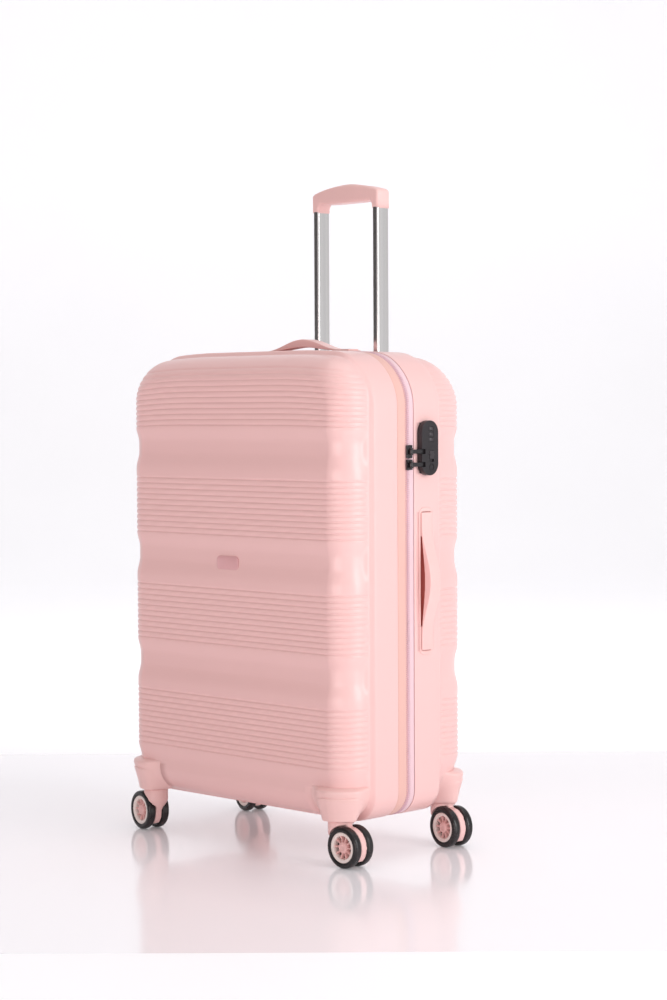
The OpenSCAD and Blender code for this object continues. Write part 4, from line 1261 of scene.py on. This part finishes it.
def packing_strap(name, end_x, end_z, replaces):
    """Webbing from the buckle to the lining's edge, with rounded selvedges."""
    low, high = mm_box("packing_straps")
    y_mid, half_t = float(low[1] + high[1]) / 2, float(high[1] - low[1]) / 2 - 0.05
    buckle = (mm_box("strap_buckle")[0] + mm_box("strap_buckle")[1]) / 2
    start = np.array([buckle[0], buckle[2]])
    end = np.array([end_x, end_z])
    ahead = (end - start) / np.linalg.norm(end - start)
    start = start + ahead * 19
    limit = float(high[2]) if ahead[1] > 0 else float(low[2])
    end = start + ahead * (limit - start[1]) / ahead[1]
    side = np.array([-ahead[1], ahead[0]])
    section = [(-12.0, 1), (-10.5, 1), (0.0, 0.85), (10.5, 1), (12.0, 1)]
    profile = [(-12.4, 0.0)] + [(w, half_t * k) for w, k in section]
    profile += [(12.4, 0.0)] + [(w, -half_t * k) for w, k in section[::-1]]
    verts, uvs = [], []
    length = float(np.linalg.norm(end - start))
    steps = 40
    for i in range(steps + 1):
        u = i / steps
        for w, t in profile:
            # the ends are cut level with the lining
            at = start + ahead * length * u + side * w
            at = at - ahead * (w * side[1] / ahead[1]) * float(smooth01((u - 0.8) / 0.2))
            verts.append((at[0], y_mid + t, at[1]))
            uvs.append((length * u * MM, w * MM))
    n = len(profile)
    faces = grid_faces(steps + 1, n, close_cols=True)
    faces += [list(range(n))[::-1], [steps * n + k for k in range(n)]]
    obj = make_piece(name, verts, faces, "case_back", WEBBING, uvs=uvs, replaces=replaces)
    orient_outward(triangulate_ngons(obj))


straps_low, straps_high = mm_box("packing_straps")
STRAP_TOP, STRAP_LOW = float(straps_high[2]) + 20, float(straps_low[2]) - 20
STRAP_ENDS = [(140, STRAP_TOP), (-140, STRAP_TOP), (130, STRAP_LOW), (-130, STRAP_LOW)]
for index, (strap_x, strap_z) in enumerate(STRAP_ENDS):
    packing_strap(f"packing_strap_{index + 1}", strap_x, strap_z, () if index else ("packing_straps",))

# ---------------------------------------------------------------- carried-over CAD nodes
DIALS = ("lock_dial_1", "lock_dial_2", "lock_dial_3")
PULLERS = ("zip_puller_upper", "zip_puller_lower")
CAD_FINISH = {
    ALUMINIUM: ("trolley_inner_tubes", "trolley_outer_tubes"), SHELL: ("trolley_cup",),
    BLACK: ("trolley_bracket", "lock_body", "strap_buckle"), DIAL: ("lock_slide", *DIALS),
    STEEL: ("trolley_push_rods", "trolley_lock_pins", *(f"caster_axle_{c}" for c in CASTERS)),
    BLACK_METAL: ("zip_sliders", *PULLERS),
}
BEVELS = {"lock_body": 1.3, "trolley_cup": 0.8, "trolley_bracket": 1.0, "strap_buckle": 1.2}
BEVELS.update({node: 0.5 for node in ("lock_slide", "zip_sliders", *DIALS, *PULLERS)})
for mat, nodes in CAD_FINISH.items():
    for node in nodes:
        obj = NODES[node]
        obj.data.materials.clear()
        obj.data.materials.append(mat)
for node, width in BEVELS.items():
    modifier(NODES[node], "WELD", merge_threshold=0.00001)
    modifier(NODES[node], "BEVEL", width=width * MM, segments=3, limit_method="ANGLE",
             angle_limit=math.radians(40))

# ---------------------------------------------------------------- stage and light
def studio(name, low, high, rough, glow):
    mat, tree, bsdf = new_material(name)
    cloud = spread(tree, noise_node(tree, 1.5, 2).outputs["Fac"], 0, 1)
    tree.links.new(mix_colours(tree, cloud, linear(low), linear(high)), bsdf.inputs["Base Color"])
    bsdf.inputs["Roughness"].default_value = rough
    bsdf.inputs["Emission Color"].default_value = (1, 1, 1, 1)
    bsdf.inputs["Emission Strength"].default_value = glow
    return mat


def staged(name, points, faces, mats):
    mesh = bpy.data.meshes.new(name)
    mesh.from_pydata(points, [], faces)
    obj = add_object(name, mesh)
    for mat in mats:
        mesh.materials.append(mat)
    return obj


# A glossy band under the case, and a matt floor that curves up into a backdrop behind it.
NEAR, FAR, WIDE, TALL = -24.0, 6.5, 24.0, 9.0
SWEEP_R = 1.6
BAND = (-0.75, 0.85)
sweep = [(NEAR, 0.0), (BAND[0], 0.0), (BAND[1], 0.0), (FAR - SWEEP_R, 0.0)]
for a in np.radians(np.arange(6, 91, 6)):
    sweep.append((FAR - SWEEP_R + SWEEP_R * math.sin(a), SWEEP_R - SWEEP_R * math.cos(a)))
sweep.append((FAR, TALL))
back_dir = np.array([-math.sin(AZIMUTH), math.cos(AZIMUTH)])
side_dir = np.array([math.cos(AZIMUTH), math.sin(AZIMUTH)])
sweep_points = [(*(back_dir * d + side_dir * w), h) for d, h in sweep for w in (-WIDE, WIDE)]
floor = staged("floor", sweep_points, grid_faces(len(sweep), 2, flip=True), [
    studio("studio_sweep", (247, 246, 249), (249, 248, 251), 0.6, 0.18),
    studio("studio_floor", (246, 242, 246), (248, 245, 249), 0.13, 0.09),
])
for polygon in floor.data.polygons:
    polygon.use_smooth = True
floor.data.polygons[1].material_index = 1

# Light from all round, dark only from the front left, where the tubes' front faces look.
world = bpy.data.worlds.new("studio")
bpy.context.scene.world = world
world.use_nodes = True
sky = world.node_tree
coord = add_node(sky, "TexCoord")
facing = add_node(sky, "VectorMath", {"operation": "DOT_PRODUCT"})
facing.inputs[1].default_value = (0.7071, 0.7071, 0.0)
sky.links.new(coord.outputs["Generated"], facing.inputs[0])
openness = spread(sky, facing.outputs["Value"], 0, 1, -1.0, -0.45)
background = sky.nodes["Background"]
warm, cool = (1.0, 0.93, 0.92, 1), (1.0, 0.985, 0.99, 1)
sky.links.new(mix_colours(sky, openness, warm, cool), background.inputs["Color"])
sky.links.new(spread(sky, openness, 0.07, 0.61, 0, 1), background.inputs["Strength"])
# what is seen past the floor's edge is as pale as the backdrop
seen = add_node(sky, "Background", Color=linear((240, 236, 241)))
paths = add_node(sky, "LightPath")
either = add_node(sky, "MixShader")
sky.links.new(paths.outputs["Is Camera Ray"], either.inputs[0])
sky.links.new(background.outputs[0], either.inputs[1])
sky.links.new(seen.outputs[0], either.inputs[2])
sky.links.new(either.outputs[0], sky.nodes["World Output"].inputs["Surface"])


def area_light(name, at, target, size, power, colour=(1, 1, 1), size_y=None):
    data = bpy.data.lights.new(name, "AREA")
    data.energy = power
    data.color = colour
    data.size = size
    if size_y:
        data.shape = "RECTANGLE"
        data.size_y = size_y
    obj = add_object(name, data)
    obj.location = at
    obj.rotation_euler = (Vector(target) - Vector(at)).to_track_quat("-Z", "Y").to_euler()
    obj.visible_camera = False


CENTRE = (0, 0, 0.4)
area_light("key", (3.4, 0.45, 1.3), CENTRE, 1.6, 51, (0.98, 1.0, 1.0), size_y=2.4)
area_light("top", (0.3, 0.3, 3.4), CENTRE, 2.5, 17)
area_light("front_fill", (1.3, -3.2, 0.3), CENTRE, 2.0, 25, (1.0, 0.85, 0.82), size_y=1.0)
area_light("backdrop", (-1.2, 1.2, 2.6), (-3.4, 3.4, 1.2), 3.0, 34)

bpy.context.scene.view_settings.view_transform = "Standard"
